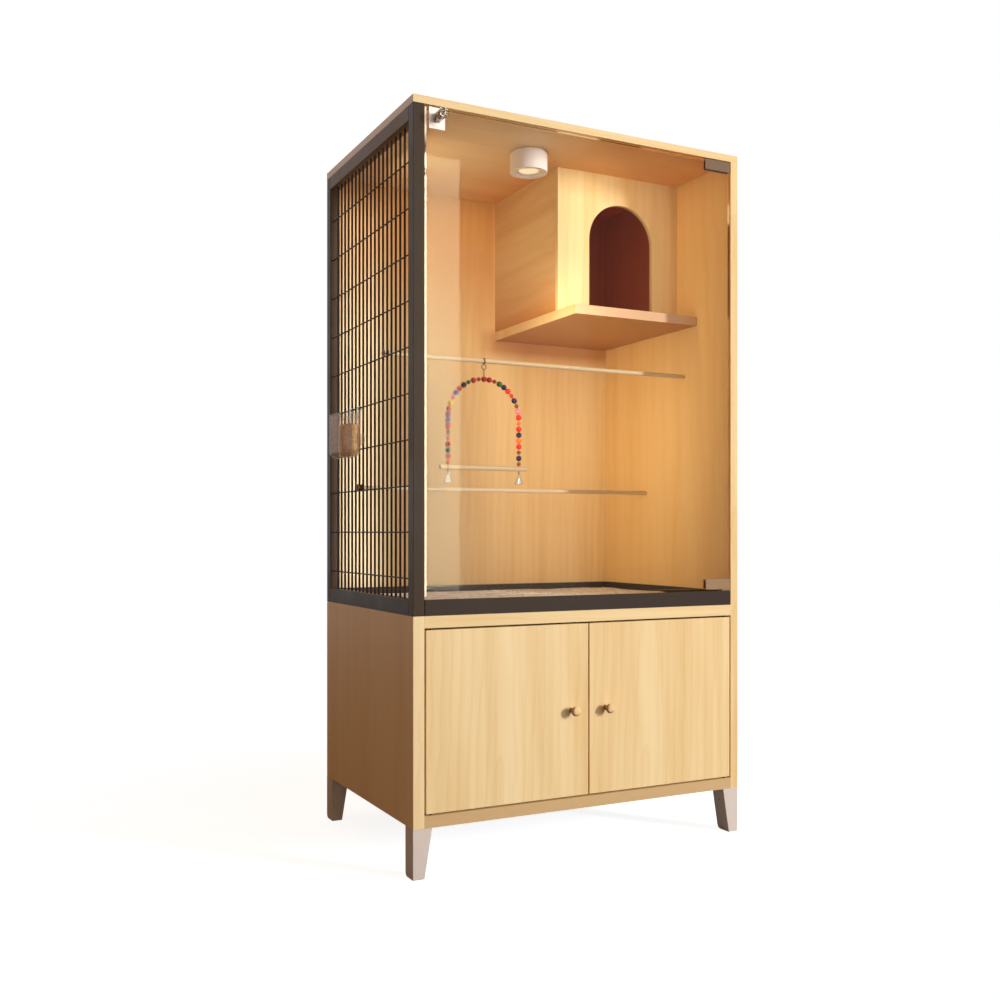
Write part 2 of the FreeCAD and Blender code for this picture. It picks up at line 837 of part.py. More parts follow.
def make_glass_door():
    """A frameless pane on two pivots, with the fixed halves of its hinges."""
    pane = block(
        "glass_pane", ("glass_left", "glass_right"), ("glass_front", "glass_back"),
        ("glass_low", "glass_high"),
    )
    lock_hole = rod(
        "glass_lock_hole", "barrel_radius + barrel_play", "glass_thick",
        "lock_x", "glass_front", "lock_z", "y",
    )
    node("glass_panel", cut("glass_panel", pane, [lock_hole]))
    make_clamp(
        "upper_glass_clamp", "clamp_high - clamp_height", "clamp_high", ("glass_high", "clamp_high")
    )
    make_clamp("lower_glass_clamp", "clamp_low", "clamp_low + clamp_height", ("clamp_low", "glass_low"))

    upper_pin = rod(
        "upper_glass_pin", "glass_pin_radius", "glass_gap + glass_pin_rise", "axis_x", "axis_y", "clamp_high",
    )
    lower_pin = rod(
        "lower_glass_pin", "glass_pin_radius", "bracket_play + bracket_thick",
        "axis_x", "axis_y", "bracket_low",
    )
    node("glass_pivot_pins", group("glass_pivot_pins", [upper_pin, lower_pin]))

    bore = "glass_pin_radius + pin_play"
    sleeve = rod("bush_sleeve", f"{bore} + bush_wall", "bush_height", "axis_x", "axis_y", "ceiling")
    sleeve_bore = rod("bush_bore", bore, "bush_height", "axis_x", "axis_y", "ceiling")
    node("upper_pivot_bush", cut("upper_pivot_bush", sleeve, [sleeve_bore]))

    plate = block(
        "bracket_plate", ("inner_right - bracket_reach", "inner_right"), ("front", "front + bracket_back"),
        ("bracket_low", "bracket_high"),
    )
    leaf = block(
        "bracket_leaf", ("inner_right - leaf_thick", "inner_right"),
        ("front + leaf_start", "front + bracket_back"), ("bracket_low", "bracket_low + bracket_height"),
    )
    plate_bore = rod("bracket_bore", bore, "bracket_thick", "axis_x", "axis_y", "bracket_low")
    node(
        "lower_pivot_bracket",
        cut("lower_pivot_bracket", join("bracket_blank", [plate, leaf]), [plate_bore]),
    )


# Lock of the glass door


def make_lock():
    """A barrel through the glass with a turning plug, a cam behind it and a keeper above."""
    half_wide = "lock_plate_width / 2"
    plate_top = "glass_high"
    plate = block(
        "lock_plate_blank", (f"lock_x - {half_wide}", f"lock_x + {half_wide}"), ("front", "glass_front"),
        (f"{plate_top} - lock_plate_height", plate_top),
    )
    play = "barrel_radius + bolt_play"
    plate_hole = rod("lock_plate_hole", play, "clamp_plate", "lock_x", "front", "lock_z", "y")
    node("lock_front_plate", cut("lock_front_plate", plate, [plate_hole]))

    nut = rod("lock_nut_blank", "nut_radius", "clamp_plate", "lock_x", "glass_back", "lock_z", "y")
    nut_hole = rod("lock_nut_hole", play, "clamp_plate", "lock_x", "glass_back", "lock_z", "y")
    node("lock_back_nut", cut("lock_back_nut", nut, [nut_hole]))

    start = "front - barrel_out"
    length = "barrel_out + barrel_in"
    shell = rod("lock_barrel_blank", "barrel_radius", length, "lock_x", start, "lock_z", "y")
    core = rod("lock_barrel_bore", "plug_radius + pin_play", length, "lock_x", start, "lock_z", "y")
    node("lock_barrel", cut("lock_barrel", shell, [core]))

    plug_start = f"{start} - plug_out"
    plug = rod(
        "lock_plug_blank", "plug_radius", f"cam_front - ({plug_start})", "lock_x", plug_start, "lock_z", "y",
    )
    slot = block(
        "lock_key_slot", ("lock_x - key_slot_width / 2", "lock_x + key_slot_width / 2"),
        (plug_start, f"{plug_start} + key_slot_depth"),
        ("lock_z - key_slot_height / 2", "lock_z + key_slot_height / 2"),
    )
    node("lock_plug", cut("lock_plug", plug, [slot]))

    arm = block(
        "lock_cam_arm", ("lock_x", "lock_x + cam_reach"), ("cam_front", "cam_back"),
        ("lock_z - cam_width / 2", "lock_z + cam_width / 2"),
    )
    hub = rod("lock_cam_hub", "plug_radius", "cam_thick", "lock_x", "cam_front", "lock_z", "y")
    node("lock_cam", join("lock_cam", [arm, hub]))

    half_keeper = "keeper_width / 2"
    keeper_x = (f"lock_x - {half_keeper}", f"lock_x + {half_keeper}")
    keeper_back = "cam_front - cam_gap / 2"
    keeper_front = f"{keeper_back} - keeper_thick"
    tab = block(
        "lock_keeper_tab", keeper_x, (keeper_front, keeper_back), ("ceiling - keeper_drop", "ceiling")
    )
    foot = block(
        "lock_keeper_foot", keeper_x, (keeper_front, f"{keeper_front} + keeper_foot"),
        ("ceiling - leaf_thick", "ceiling"),
    )
    node("lock_keeper", join("lock_keeper", [tab, foot]))


# Swing


def half_ring():
    """The arch of the swing's wire, standing across the cage."""
    piece = doc.addObject("Part::Torus", "swing_wire_arch")
    bind(piece, Radius1="swing_arch_radius", Radius2="swing_wire_radius")
    piece.Angle3 = 180
    piece.Placement = FreeCAD.Placement(FreeCAD.Vector(), FreeCAD.Rotation(FreeCAD.Vector(1, 0, 0), 90))
    place(piece, "swing_x", "upper_y", "arch_z")
    return piece


def bent_wire():
    """The pieces of the swing's wire: an arch on two straight legs."""
    leg_low = "loop_z + loop_radius"
    legs = [
        rod(
            f"swing_{side}_leg", "swing_wire_radius", f"arch_z - ({leg_low})",
            f"swing_x + ({sign}) * swing_arch_radius", "upper_y", leg_low,
        )
        for side, sign in (("left", -1), ("right", 1))
    ]
    return [half_ring()] + legs


def make_swing():
    """A wire arch hung from the upper perch, with a wooden bar between its legs."""
    x = "swing_x"
    y = "upper_y"
    top = "upper_z"
    eye_z = "arch_top_z"
    link_z = f"{top} - hook_ring - hook_wire_radius - link_radius"
    collar = ring("hook_collar", "hook_ring", "hook_wire_radius", x, y, top, "x")
    link = ring("hook_link", "link_radius", "hook_wire_radius", x, y, link_z, "y")
    stem_low = f"{eye_z} + eye_ring"
    stem = rod("hook_stem", "hook_wire_radius", f"{link_z} - link_radius - ({stem_low})", x, y, stem_low)
    eye = ring("hook_eye", "eye_ring", "hook_wire_radius", x, y, eye_z, "x")
    node("swing_hook", join("swing_hook", [collar, link, stem, eye]))

    loops = [
        ring(
            f"swing_{side}_loop", "loop_radius", "loop_wire_radius",
            f"swing_x + ({sign}) * swing_arch_radius", y, "loop_z", "x",
        )
        for side, sign in (("left", -1), ("right", 1))
    ]
    node("swing_wire", join("swing_wire", bent_wire() + loops))

    bar = rod(
        "swing_bar_blank", "swing_bar_radius", "swing_bar_length",
        f"{x} - swing_bar_length / 2", y, "bar_z", "x",
    )
    bores = [
        rod(
            f"swing_bar_{side}_bore", "swing_wire_radius + bead_bore_play", "2 * swing_bar_radius",
            f"{x} + ({sign}) * swing_arch_radius", y, "bar_z - swing_bar_radius",
        )
        for side, sign in (("left", -1), ("right", 1))
    ]
    node("swing_bar", cut("swing_bar", bar, bores))
    make_beads()


# The small beads on each side, counted from the top of the arch.
SMALL_BEADS = {"left": (1, 3, 7, 13, 14, 18), "right": (2, 6, 8, 11, 16, 18)}


def make_bead(name, size, sign, along):
    """One bored bead on the wire, a stated length of wire away from the arch's top."""
    radius = value("swing_arch_radius")
    turn = min(along / radius, math.pi / 2)
    drop = max(along - radius * math.pi / 2, 0)
    across = sign * math.sin(turn)
    above = math.cos(turn)
    x = f"swing_x + ({across}) * swing_arch_radius"
    z = f"arch_z + ({above}) * swing_arch_radius - {drop}"
    tilt = FreeCAD.Rotation(FreeCAD.Vector(0, 1, 0), math.degrees(turn - math.pi / 2) * sign)
    sphere = doc.addObject("Part::Sphere", name + "_ball")
    bind(sphere, Radius=size)
    bore = doc.addObject("Part::Cylinder", name + "_bore")
    bind(bore, Radius="swing_wire_radius + bead_bore_play", Height=f"2 * {size}")
    for thing in (sphere, bore):
        thing.Placement = FreeCAD.Placement(FreeCAD.Vector(), tilt)
    place(sphere, x, "upper_y", z)
    place(bore, f"{x} + ({sign * above}) * {size}", "upper_y", f"{z} - ({abs(across)}) * {size}")
    return cut(name, sphere, [bore])


def make_beads():
    """Beads strung along the wire, the top one slotted for the hook's eye."""
    beads = []
    for side, sign in (("left", -1), ("right", 1)):
        for number in range(1, SIZES["beads_per_side"] + 1):
            size = "small_bead_radius" if number in SMALL_BEADS[side] else "bead_radius"
            beads.append(make_bead(f"{side}_bead_{number}", size, sign, number * value("bead_pitch")))
    top = make_bead("top_bead", "bead_radius", 1, 0)
    half_slot = "(hook_wire_radius + bead_slot_play)"
    eye_reach = "(eye_ring + hook_wire_radius + bead_slot_play)"
    slot = block(
        "top_bead_slot", (f"swing_x - {half_slot}", f"swing_x + {half_slot}"),
        ("upper_y - bead_radius", "upper_y + bead_radius"),
        (f"arch_top_z - {eye_reach}", "arch_top_z + bead_radius"),
    )
    beads.append(cut("top_bead_slotted", top, [slot]))
    node("swing_beads", group("swing_beads", beads))


# Bells under the swing


def make_bell(side, sign):
    """A small bell on a ring, with a clapper inside."""
    name = side + "_bell"
    x = f"swing_x + ({sign}) * swing_arch_radius"
    y = "upper_y"
    hanger = ring(name + "_ring", "loop_radius", "loop_wire_radius", x, y, "bell_ring_z", "y")
    outside = [
        taper(name + "_skirt", "bell_mouth", "bell_crown", "bell_skirt", x, y, "bell_low"),
        ball(name + "_crown", "bell_crown", x, y, "bell_joint"),
    ]
    inside = [
        taper(
            name + "_skirt_hollow", "bell_mouth - bell_wall", "bell_crown - bell_wall", "bell_skirt",
            x, y, "bell_low",
        ),
        ball(name + "_crown_hollow", "bell_crown - bell_wall", x, y, "bell_joint"),
    ]
    shell = cut(name + "_shell", join(name + "_outside", outside), [join(name + "_hollow", inside)])
    node(name, join(name, [shell, hanger]))

    clapper_top = "bell_joint + bell_crown - bell_wall - clapper_play"
    wire = rod(
        side + "_clapper_wire", "clapper_wire", "clapper_length", x, y, f"{clapper_top} - clapper_length",
    )
    weight = ball(side + "_clapper_ball", "clapper_ball", x, y, f"{clapper_top} - clapper_length")
    node(side + "_clapper", join(side + "_clapper", [wire, weight]))


# Feeder cup outside the grille


def make_feeder():
    """A clear cup with rounded lower edges and two ears, hung on a cross wire by two hooks."""
    body = doc.addObject("PartDesign::Body", "feeder_cup_body")
    sketch = sketch_on(body, "feeder_outline", "XY_Plane")
    deep = "feeder_back - feeder_out"
    outline(sketch, [("0", "0"), (deep, "0"), (deep, "feeder_width"), ("0", "feeder_width")])
    solid = pad(body, sketch, "feeder_height")
    doc.recompute()
    high = value("feeder_height")
    tiny = value("feeder_wall") / 10
    lower = edges_where(solid.Shape, lambda middle: middle.z < high - tiny)
    rounding = body.newObject("PartDesign::Fillet", "feeder_rounding")
    rounding.Base = (solid, lower)
    bind(rounding, Radius="feeder_round")
    doc.recompute()
    mouth = [
        f"Face{number}"
        for number, face in enumerate(rounding.Shape.Faces, start=1)
        if face.CenterOfMass.z > high - tiny
    ]
    hollow = body.newObject("PartDesign::Thickness", "feeder_hollow")
    hollow.Base = (rounding, mouth)
    hollow.Reversed = True
    bind(hollow, Value="feeder_wall")
    body.Tip = hollow
    place(body, "feeder_out", "feeder_y", "feeder_low")
    ears = [
        rod(
            f"feeder_{side}_ear", "ear_radius", "feeder_wall",
            "feeder_back - feeder_wall", y, "feeder_low + ear_rise", "x",
        )
        for side, y in (("near", "feeder_y"), ("far", "feeder_far"))
    ]
    node("feeder_cup", join("feeder_cup", [body] + ears))

    hooks = [
        feeder_hook(side, y)
        for side, y in (("near", "near_hook_y"), ("far", "far_hook_y"))
    ]
    node("feeder_hooks", group("feeder_hooks", hooks))


def feeder_hook(side, y):
    """One flat hook: up the cup's inner back wall, over the cross wire and down behind it."""
    name = f"feeder_{side}_hook"
    wide = (f"{y} - hook_width / 2", f"{y} + hook_width / 2")
    strap_back = "feeder_back - feeder_wall"
    strap_front = f"{strap_back} - hook_thick"
    lip_front = "cross_x + cross_radius + feeder_play"
    lip_back = f"{lip_front} + hook_thick"
    under = "hook_wire_z + cross_radius + feeder_play"
    over = f"{under} + hook_thick"
    strap = block(name + "_strap", (strap_front, strap_back), wide, ("feeder_top - hook_lap", over))
    bridge = block(name + "_bridge", (strap_front, lip_back), wide, (under, over))
    lip = block(name + "_lip", (lip_front, lip_back), wide, (f"{under} - hook_lip", over))
    return join(name, [strap, bridge, lip])


def check_and_write():
    """Stops on any failed object, then writes each piece to its own file."""
    doc.recompute()
    for thing in doc.Objects:
        if "Invalid" in thing.State or "Error" in thing.State:
            raise RuntimeError(f"{thing.Name} failed: {thing.State}")
    for name, thing in nodes.items():
        shape = thing.Shape
        if shape.isNull() or not shape.isValid() or not shape.Solids:
            raise RuntimeError(f"{name} has no valid solid")
        shape.exportStep(f"parts/{name}.step")
    print(len(nodes), "pieces written")


make_carcass()
for corner in FEET:
    make_foot(corner)
node("foot_studs", group("foot_studs", [stud("foot_stud", corner) for corner in FEET]))
make_grille()
make_nest()
make_perches()
make_lamp()
catches = [make_door(side) for side in ("left", "right")]
node("magnetic_catches", group("magnetic_catches", catches))
make_tray()
make_glass_door()
make_lock()
make_swing()
for side, sign in (("left", -1), ("right", 1)):
    make_bell(side, sign)
make_feeder()
check_and_write()
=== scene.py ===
import math

import bmesh
import bpy
from mathutils import Matrix, Vector, noise


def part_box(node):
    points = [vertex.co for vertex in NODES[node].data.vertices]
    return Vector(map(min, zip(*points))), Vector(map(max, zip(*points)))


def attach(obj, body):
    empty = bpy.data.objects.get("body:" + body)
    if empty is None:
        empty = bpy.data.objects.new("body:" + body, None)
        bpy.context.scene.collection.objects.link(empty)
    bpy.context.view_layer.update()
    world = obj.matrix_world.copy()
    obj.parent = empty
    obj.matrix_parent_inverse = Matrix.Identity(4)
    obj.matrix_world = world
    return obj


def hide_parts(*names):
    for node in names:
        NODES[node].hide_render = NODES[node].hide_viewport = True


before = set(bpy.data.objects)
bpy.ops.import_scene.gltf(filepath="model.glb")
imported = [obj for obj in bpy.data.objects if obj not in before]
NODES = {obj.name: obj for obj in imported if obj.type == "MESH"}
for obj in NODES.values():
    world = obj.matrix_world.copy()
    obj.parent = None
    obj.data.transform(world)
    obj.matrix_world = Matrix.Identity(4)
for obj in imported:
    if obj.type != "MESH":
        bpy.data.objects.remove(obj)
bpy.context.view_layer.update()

# The look of a wooden bird cage cabinet. Metres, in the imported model's frame: +X to the right,
# +Y to the back, +Z up, with the floor at zero.

# Camera and lights

CAMERA_PLACE = (-1.2447, -2.3253, 0.7097)
CAMERA_TURN = (math.radians(90), 0, math.radians(-26.95))
CAMERA_LENS = 39.445
CAMERA_SENSOR = 36
CAMERA_SHIFT = 0.0317
CAMERA_REACH = 100

FACING_BACK = (math.radians(90), 0, 0)
WINDOW_PLACE = (4.8, -6.4, 2.4)
WINDOW_TARGET = (0, -0.26, 1.2)
WINDOW_SIZE = (0.45, 2.0)
WINDOW_POWER = 550.0
WINDOW_COLOUR = (0.94, 0.96, 1.0)
FILL_PLACE = (0.75, -3.0, 1.0)
FILL_SIZE = (1.9, 2.2)
FILL_POWER = 15.0
FILL_COLOUR = (0.97, 0.98, 1.0)
INSIDE_PLACE = (-0.02, -0.17, 1.0)
INSIDE_SIZE = (0.24, 0.6)
INSIDE_TURN = (math.radians(90), 0, math.radians(-45))
INSIDE_POWER = 0.98
INSIDE_COLOUR = (1.0, 0.77, 0.50)
INSIDE_SPREAD = math.radians(120)
SIDE_PLACE = (-0.30, 0.02, 1.36)
SIDE_SIZE = (0.25, 0.4)
SIDE_TURN = (math.radians(90), 0, math.radians(-90))
SIDE_POWER = 0.42
GLOW_PLACE = (0.18, -0.25, 1.5)
GLOW_SIZE = (0.08, 0.08)
GLOW_POWER = 0.19
GLOW_COLOUR = (1.0, 0.78, 0.50)
WASH_PLACE = (-0.32, 0.17, 1.04)
WASH_SIZE = (0.12, 0.97)
WASH_POWER = 0.47
WASH_COLOUR = (0.83, 0.88, 1.0)
WASH_SPREAD = math.radians(70)
CARD_PLACE = (0.56, -2.26, 1.35)
CARD_SIZE = (0.155, 1.75)
CARD_POWER = 13.5
CARD_COLOUR = (1.0, 0.95, 0.64)
SPARK_PLACE = (-2.2, -2.6, 3.6)
SPARK_SIZE = (0.4, 0.4)
SPARK_POWER = 24.0
SPARK_COLOUR = (1.0, 1.0, 1.0)
LAMP_POWER = 1.8
LAMP_COLOUR = (1.0, 0.66, 0.36)
LAMP_RADIUS = 0.008
LAMP_DROP = 0.010
ROOM_COLOUR = (0.30, 0.17, 0.095, 1.0)
WHITE = (1.0, 1.0, 1.0, 1.0)
FLOOR_SIZE = 6.0
# The floor fades to white between these two distances from the middle.
FLOOR_FADE = (0.75, 1.3)
FLOOR_LIFT = 0.85
FLOOR_BOUNCE = (0.32, 0.36, 0.42, 1.0)

# Turned, strung and loose pieces

# Height off the door and radius.
KNOB_PROFILE = (
    (0.0, 0.0058), (0.0006, 0.0064), (0.0016, 0.0064), (0.0024, 0.0056), (0.008, 0.0053),
    (0.0122, 0.0058), (0.0145, 0.0078), (0.0165, 0.0098), (0.0182, 0.0108), (0.0196, 0.0110),
    (0.0210, 0.0107), (0.0224, 0.0099), (0.0236, 0.0083), (0.0245, 0.0058), (0.0249, 0.0030),
    (0.0250, 0.0),
)
KNOB_SIDES = 48

SWING_RADIUS = 0.09
BEAD_PITCH = 0.0135
BEAD_BORE = 0.0015
LARGE_BEAD = 0.0065
SMALL_BEAD = 0.0048
BEAD_RIM = 0.0004
BEAD_RIM_TURN = 0.09
BEAD_STEPS = 14
BEAD_SIDES = 20

LITTER_COLUMNS = 110
LITTER_ROWS = 74
LITTER_DROP = 0.0042
SWELL_SCALE = 9
SWELL_HEIGHT = 0.0022
CRUMB_SCALE = 95
CRUMB_HEIGHT = 0.0014
# Painted light on the bedding near the tray's front: where it fades out, measured from the front, and
# its colour.
LITTER_PAINTED_LIGHT = (0.04, 0.16, "#FFF8F0")

FLAKE_COUNT = 1500
FLAKE_MARGIN = 0.008
FLAKE_DROP = 0.0034
FLAKE_LEAN = 0.5
FLAKE_TAPER = 0.8
FLAKE_THICKNESS = 0.0008
# Least half length and half width, and how much larger they get.
FLAKE_LENGTH = (0.0022, 0.0024)
FLAKE_WIDTH = (0.0011, 0.0012)

CUP_WALL = 0.0036
CUP_EAR = 0.014
HEAP_HEIGHT = 0.076
HEAP_CORNER = 0.014
HEAP_LEVELS = 8
HEAP_INSET = 0.0006
# The heap's room to the cup's walls: outside the cage, inside it and at the back.
HEAP_OFF_OUTSIDE = 0.010
HEAP_OFF_INSIDE = 0.0006
HEAP_OFF_BACK = 0.022
CORNER_STEPS = 6
LEAST_CORNER = 0.0005

TOP_SEEDS = 260
TOP_SEED_LIFT = 0.0004
TOP_SEED_MARGIN = 0.004
SIDE_SEEDS = 420
# Seeds at the sides are numbered from here on, so that they are turned and sized anew.
SIDE_SEED_START = 1000
SIDE_SEED_DEPTH = 0.0014
SIDE_SEED_ALONG_X = 0.015
SIDE_SEED_ALONG_Y = 0.016
SIDE_SEED_FOOT = 0.016
SIDE_SEED_ROOM = 0.018
# Least radius of a seed, how much larger it gets, and its length against its width.
SEED_RADIUS = (0.0011, 0.0005)
SEED_STRETCH = 1.5

SCREW_SIDES = 24
CLAMP_SCREW_RADIUS = 0.0042
CLAMP_SCREW_SHARES = (0.3, 0.74)
CLAMP_SCREW_SINK = 0.0006
BRACKET_SCREW_RADIUS = 0.0034
BRACKET_SCREW_SINK = 0.002
BRACKET_SCREW_RISE = 0.003
BRACKET_SCREW_ENDS = (0.027, 0.008)

# Rounding of sharp edges

BOARD_ROUND = 0.0007
FRAME_ROUND = 0.0012
TRAY_ROUND = 0.0005
FOOT_ROUND = 0.001
FITTING_ROUND = 0.0004
WELD_DISTANCE = 0.00001
SHARP_ANGLE = math.radians(40)

# Glass, wood and bead colours

GLASS_BEVEL = 0.0034
GLASS_GLEAM_IOR = 1.22
# How strongly the pane's cut edges glow: a painted glow.
GLASS_EDGE_PAINTED_GLOW = 0.35
TOP_EDGE_DEPTH = 0.001
# Painted reflections on the pane's cut edges: stretches of its top edge along X, of its right
# edge and of the left one's blotches along Z.
TOP_EDGE = ((-0.37, -0.053, "#8A6434"), (-0.053, 0.054, "#F2DFB4"), (0.054, 0.166, "#7A5426"))
RIGHT_EDGE = ((1.437, 1.484, "#F4DDAE"), (1.216, 1.437, "#6E4418"))
BLOTCHES = (1.34, 1.52)
LENS_GLOW = 0.52

WOOD_LIGHT = "#F7E1AF"
WOOD_MIDDLE = "#F1D69F"
WOOD_DARK = "#E5C183"
PALE_WOOD = (WOOD_DARK, WOOD_MIDDLE, WOOD_LIGHT)
KNOB_WOOD = ("#E4BA80", "#F2D098", "#FBE2B4")
PERCH_WOOD = ("#DBB784", "#E7CEA3", "#F0DDBC")
# Painted shade inside the nest.
NEST_PAINTED_SHADE = "#DC8E80"
# Painted shade on the knobs' left and lower sides.
KNOB_PAINTED_SHADE = "#7A4A1C"
SMUDGE = "#6B5D50"

BEAD_COLOURS = {
    "red": "#BE1C0A",
    "navy": "#1C1238",
    "pink": "#E0708A",
    "rose": "#D24038",
    "violet": "#7464B0",
    "green": "#285C1E",
    "yellow": "#F5D04A",
    "orange": "#E86418",
    "brown": "#7A3A16",
    "plum": "#9A4A62",
}
# Beads from the top of the arch down each side. A small bead has a star.
BEAD_ROWS = {
    "left": (
        "red* red green* navy rose violet pink* yellow rose plum violet rose brown* orange* red "
        "green rose orange*"
    ),
    "right": (
        "red red* green navy red red* navy brown* pink red orange* red navy orange red brown* "
        "navy brown*"
    ),
}


def srgb(code):
    """A colour code as the linear colour that a shader takes."""
    parts = [int(code[start:start + 2], 16) / 255 for start in (1, 3, 5)]
    linear = [part / 12.92 if part < 0.04045 else ((part + 0.055) / 1.055) ** 2.4 for part in parts]
    return (*linear, 1.0)


class Nodes:
    """The shader nodes of a material or of the world."""

    def __init__(self, owner):
        owner.use_nodes = True
        self.tree = owner.node_tree
        self.tree.nodes.clear()

    def add(self, kind, inputs=None, **settings):
        """Adds a node. Each input is a plain value or another node's output."""
        made = self.tree.nodes.new("ShaderNode" + kind)
        for name, setting in settings.items():
            setattr(made, name, setting)
        for name, given in (inputs or {}).items():
            socket = made.inputs[name]
            if isinstance(given, bpy.types.NodeSocket):
                self.tree.links.new(given, socket)
            else:
                socket.default_value = given
        return made

    def maths(self, operation, first, second=0.0):
        """One value worked out from two."""
        return self.add("Math", {0: first, 1: second}, operation=operation).outputs[0]

    def mix(self, amount, first, second, blend="MIX"):
        """One colour mixed from two."""
        inputs = {0: amount, 6: first, 7: second}
        return self.add("Mix", inputs, data_type="RGBA", blend_type=blend).outputs[2]


class Paint(Nodes):
    """One material and the nodes it is made of."""

    def __init__(self, name):
        self.material = bpy.data.materials.new(name)
        super().__init__(self.material)
        self.coordinates = self.add("TexCoord").outputs

    def placed(self, scale=(1, 1, 1), turn=(0, 0, 0), move=(0, 0, 0), source=None):
        """Object coordinates, or a given vector, after a move, a turn and a scale."""
        source = source or self.coordinates["Object"]
        inputs = {"Vector": source, "Location": move, "Rotation": turn, "Scale": scale}
        return self.add("Mapping", inputs).outputs[0]

    def noise(self, vector, scale, detail, roughness, distortion=0.0):
        """Cloudy noise between zero and one."""
        inputs = {
            "Vector": vector, "Scale": scale, "Detail": detail,
            "Roughness": roughness, "Distortion": distortion,
        }
        return self.add("TexNoise", inputs).outputs["Fac"]

    def ramp(self, amount, stops):
        """A colour ramp from (position, colour code) stops."""
        made = self.add("ValToRGB", {"Fac": amount})
        elements = made.color_ramp.elements
        for _ in range(len(stops) - 2):
            elements.new(0.5)
        for element, (position, code) in zip(elements, stops):
            element.position = position
            element.color = srgb(code)
        return made.outputs["Color"]

    def span(self, amount, low, high, first, last):
        """A value moved from one span to another, kept inside it."""
        inputs = {"Value": amount, "From Min": low, "From Max": high, "To Min": first, "To Max": last}
        return self.add("MapRange", inputs).outputs["Result"]

    def axes(self, name):
        """A coordinate's X, Y and Z parts."""
        return self.add("SeparateXYZ", {0: self.coordinates[name]}).outputs

    def bump(self, height, strength, distance):
        """A normal tilted by a height."""
        inputs = {"Height": height, "Strength": strength, "Distance": distance}
        return self.add("Bump", inputs).outputs["Normal"]

    def surface(self, shader):
        """Ends the material in a shader."""
        self.add("OutputMaterial", {"Surface": shader})
        return self.material

    def principled(self, **inputs):
        """A Principled shader. An underscore in a name stands for a space."""
        named = {name.replace("_", " "): given for name, given in inputs.items()}
        return self.add("BsdfPrincipled", named).outputs[0]


# Materials


def band(paint, amount, low, high, soft=0.006):
    """One between two values and zero outside them, with soft ends."""
    rise = paint.span(amount, low - soft, low + soft, 0.0, 1.0)
    fall = paint.span(amount, high - soft, high + soft, 1.0, 0.0)
    return paint.maths("MULTIPLY", rise, fall)


def painted_by_facing(paint, base, faces, turned=(0.5, 0.7)):
    """Painted light and shade: a colour made lighter or darker on faces that look one way: axis, sign,
    amount and colour.
    """
    normal = paint.axes("Normal")
    for axis, sign, amount, code in faces:
        towards = paint.span(paint.maths("MULTIPLY", normal[axis], sign), *turned, 0.0, amount)
        base = paint.mix(towards, base, srgb(code))
    return base


def with_painted_shade(paint, base, shades):
    """Painted shade: a colour darkened in soft boxes on the faces that look one way."""
    place = paint.axes("Object")
    normal = paint.axes("Normal")
    for facing, sign, spans, code in shades:
        inside = paint.span(paint.maths("MULTIPLY", normal[facing], sign), 0.5, 0.7, 0.0, 1.0)
        for axis, low, high, soft in spans:
            inside = paint.maths("MULTIPLY", inside, band(paint, place[axis], low, high, soft))
        base = paint.mix(inside, base, srgb(code), "MULTIPLY")
    return base


# Turns that bring the grain's axis to Z, and the heart line's lean.
GRAIN_TURNS = {
    "x": (0, math.radians(90), 0),
    "y": (math.radians(90), 0, 0),
    "z": (0, 0, 0),
}
HEART_LEAN = (math.radians(2.6), math.radians(-1.7), 0)


def wood(name, grain, colours=PALE_WOOD, faces=(), shades=(), turned=(0.5, 0.7)):
    """Pale lacquered wood with its grain along one axis and rings about a leaning heart line."""
    along, seed, heart = grain
    paint = Paint(name)
    along_z = paint.placed(turn=GRAIN_TURNS[along])
    moved = paint.placed(move=(seed * 0.731, seed * 0.417, seed * 0.193), source=along_z)
    broad = paint.noise(paint.placed((1, 1, 0.07), source=moved), 11, 3, 0.55, 0.3)
    streaks = paint.noise(paint.placed((1, 1, 0.035), source=moved), 75, 3, 0.6)
    fibre = paint.noise(paint.placed((1, 1, 0.016), source=moved), 620, 2, 0.6)
    leaning = paint.placed(turn=HEART_LEAN, move=(*heart, 0), source=along_z)
    rings = paint.add(
        "TexWave",
        {
            "Vector": paint.placed((1, 0.55, 0.3), source=leaning), "Scale": 15.0, "Distortion": 3.5,
            "Detail": 1.0, "Detail Scale": 1.6, "Detail Roughness": 0.4,
        },
        wave_type="RINGS", rings_direction="Z", wave_profile="SAW",
    ).outputs["Fac"]
    dark, middle, light = colours
    base = paint.ramp(broad, ((0.28, dark), (0.5, middle), (0.72, light)))
    ringed = paint.mix(paint.span(rings, 0.55, 1.0, 0.0, 0.14), base, srgb(dark), "MULTIPLY")
    streaked = paint.mix(paint.span(streaks, 0.45, 0.75, 0.0, 0.1), ringed, srgb(dark), "MULTIPLY")
    grained = paint.mix(paint.span(fibre, 0.5, 0.75, 0.0, 0.1), streaked, srgb(dark), "MULTIPLY")
    # The faces and shades add painted light and shade to the wood's colour.
    shader = paint.principled(
        Base_Color=with_painted_shade(paint, painted_by_facing(paint, grained, faces, turned), shades),
        Roughness=paint.span(fibre, 0.3, 0.7, 0.38, 0.52),
        Specular_IOR_Level=0.4,
        Normal=paint.bump(paint.maths("ADD", fibre, streaks), 0.12, 0.0004),
    )
    return paint.surface(shader)


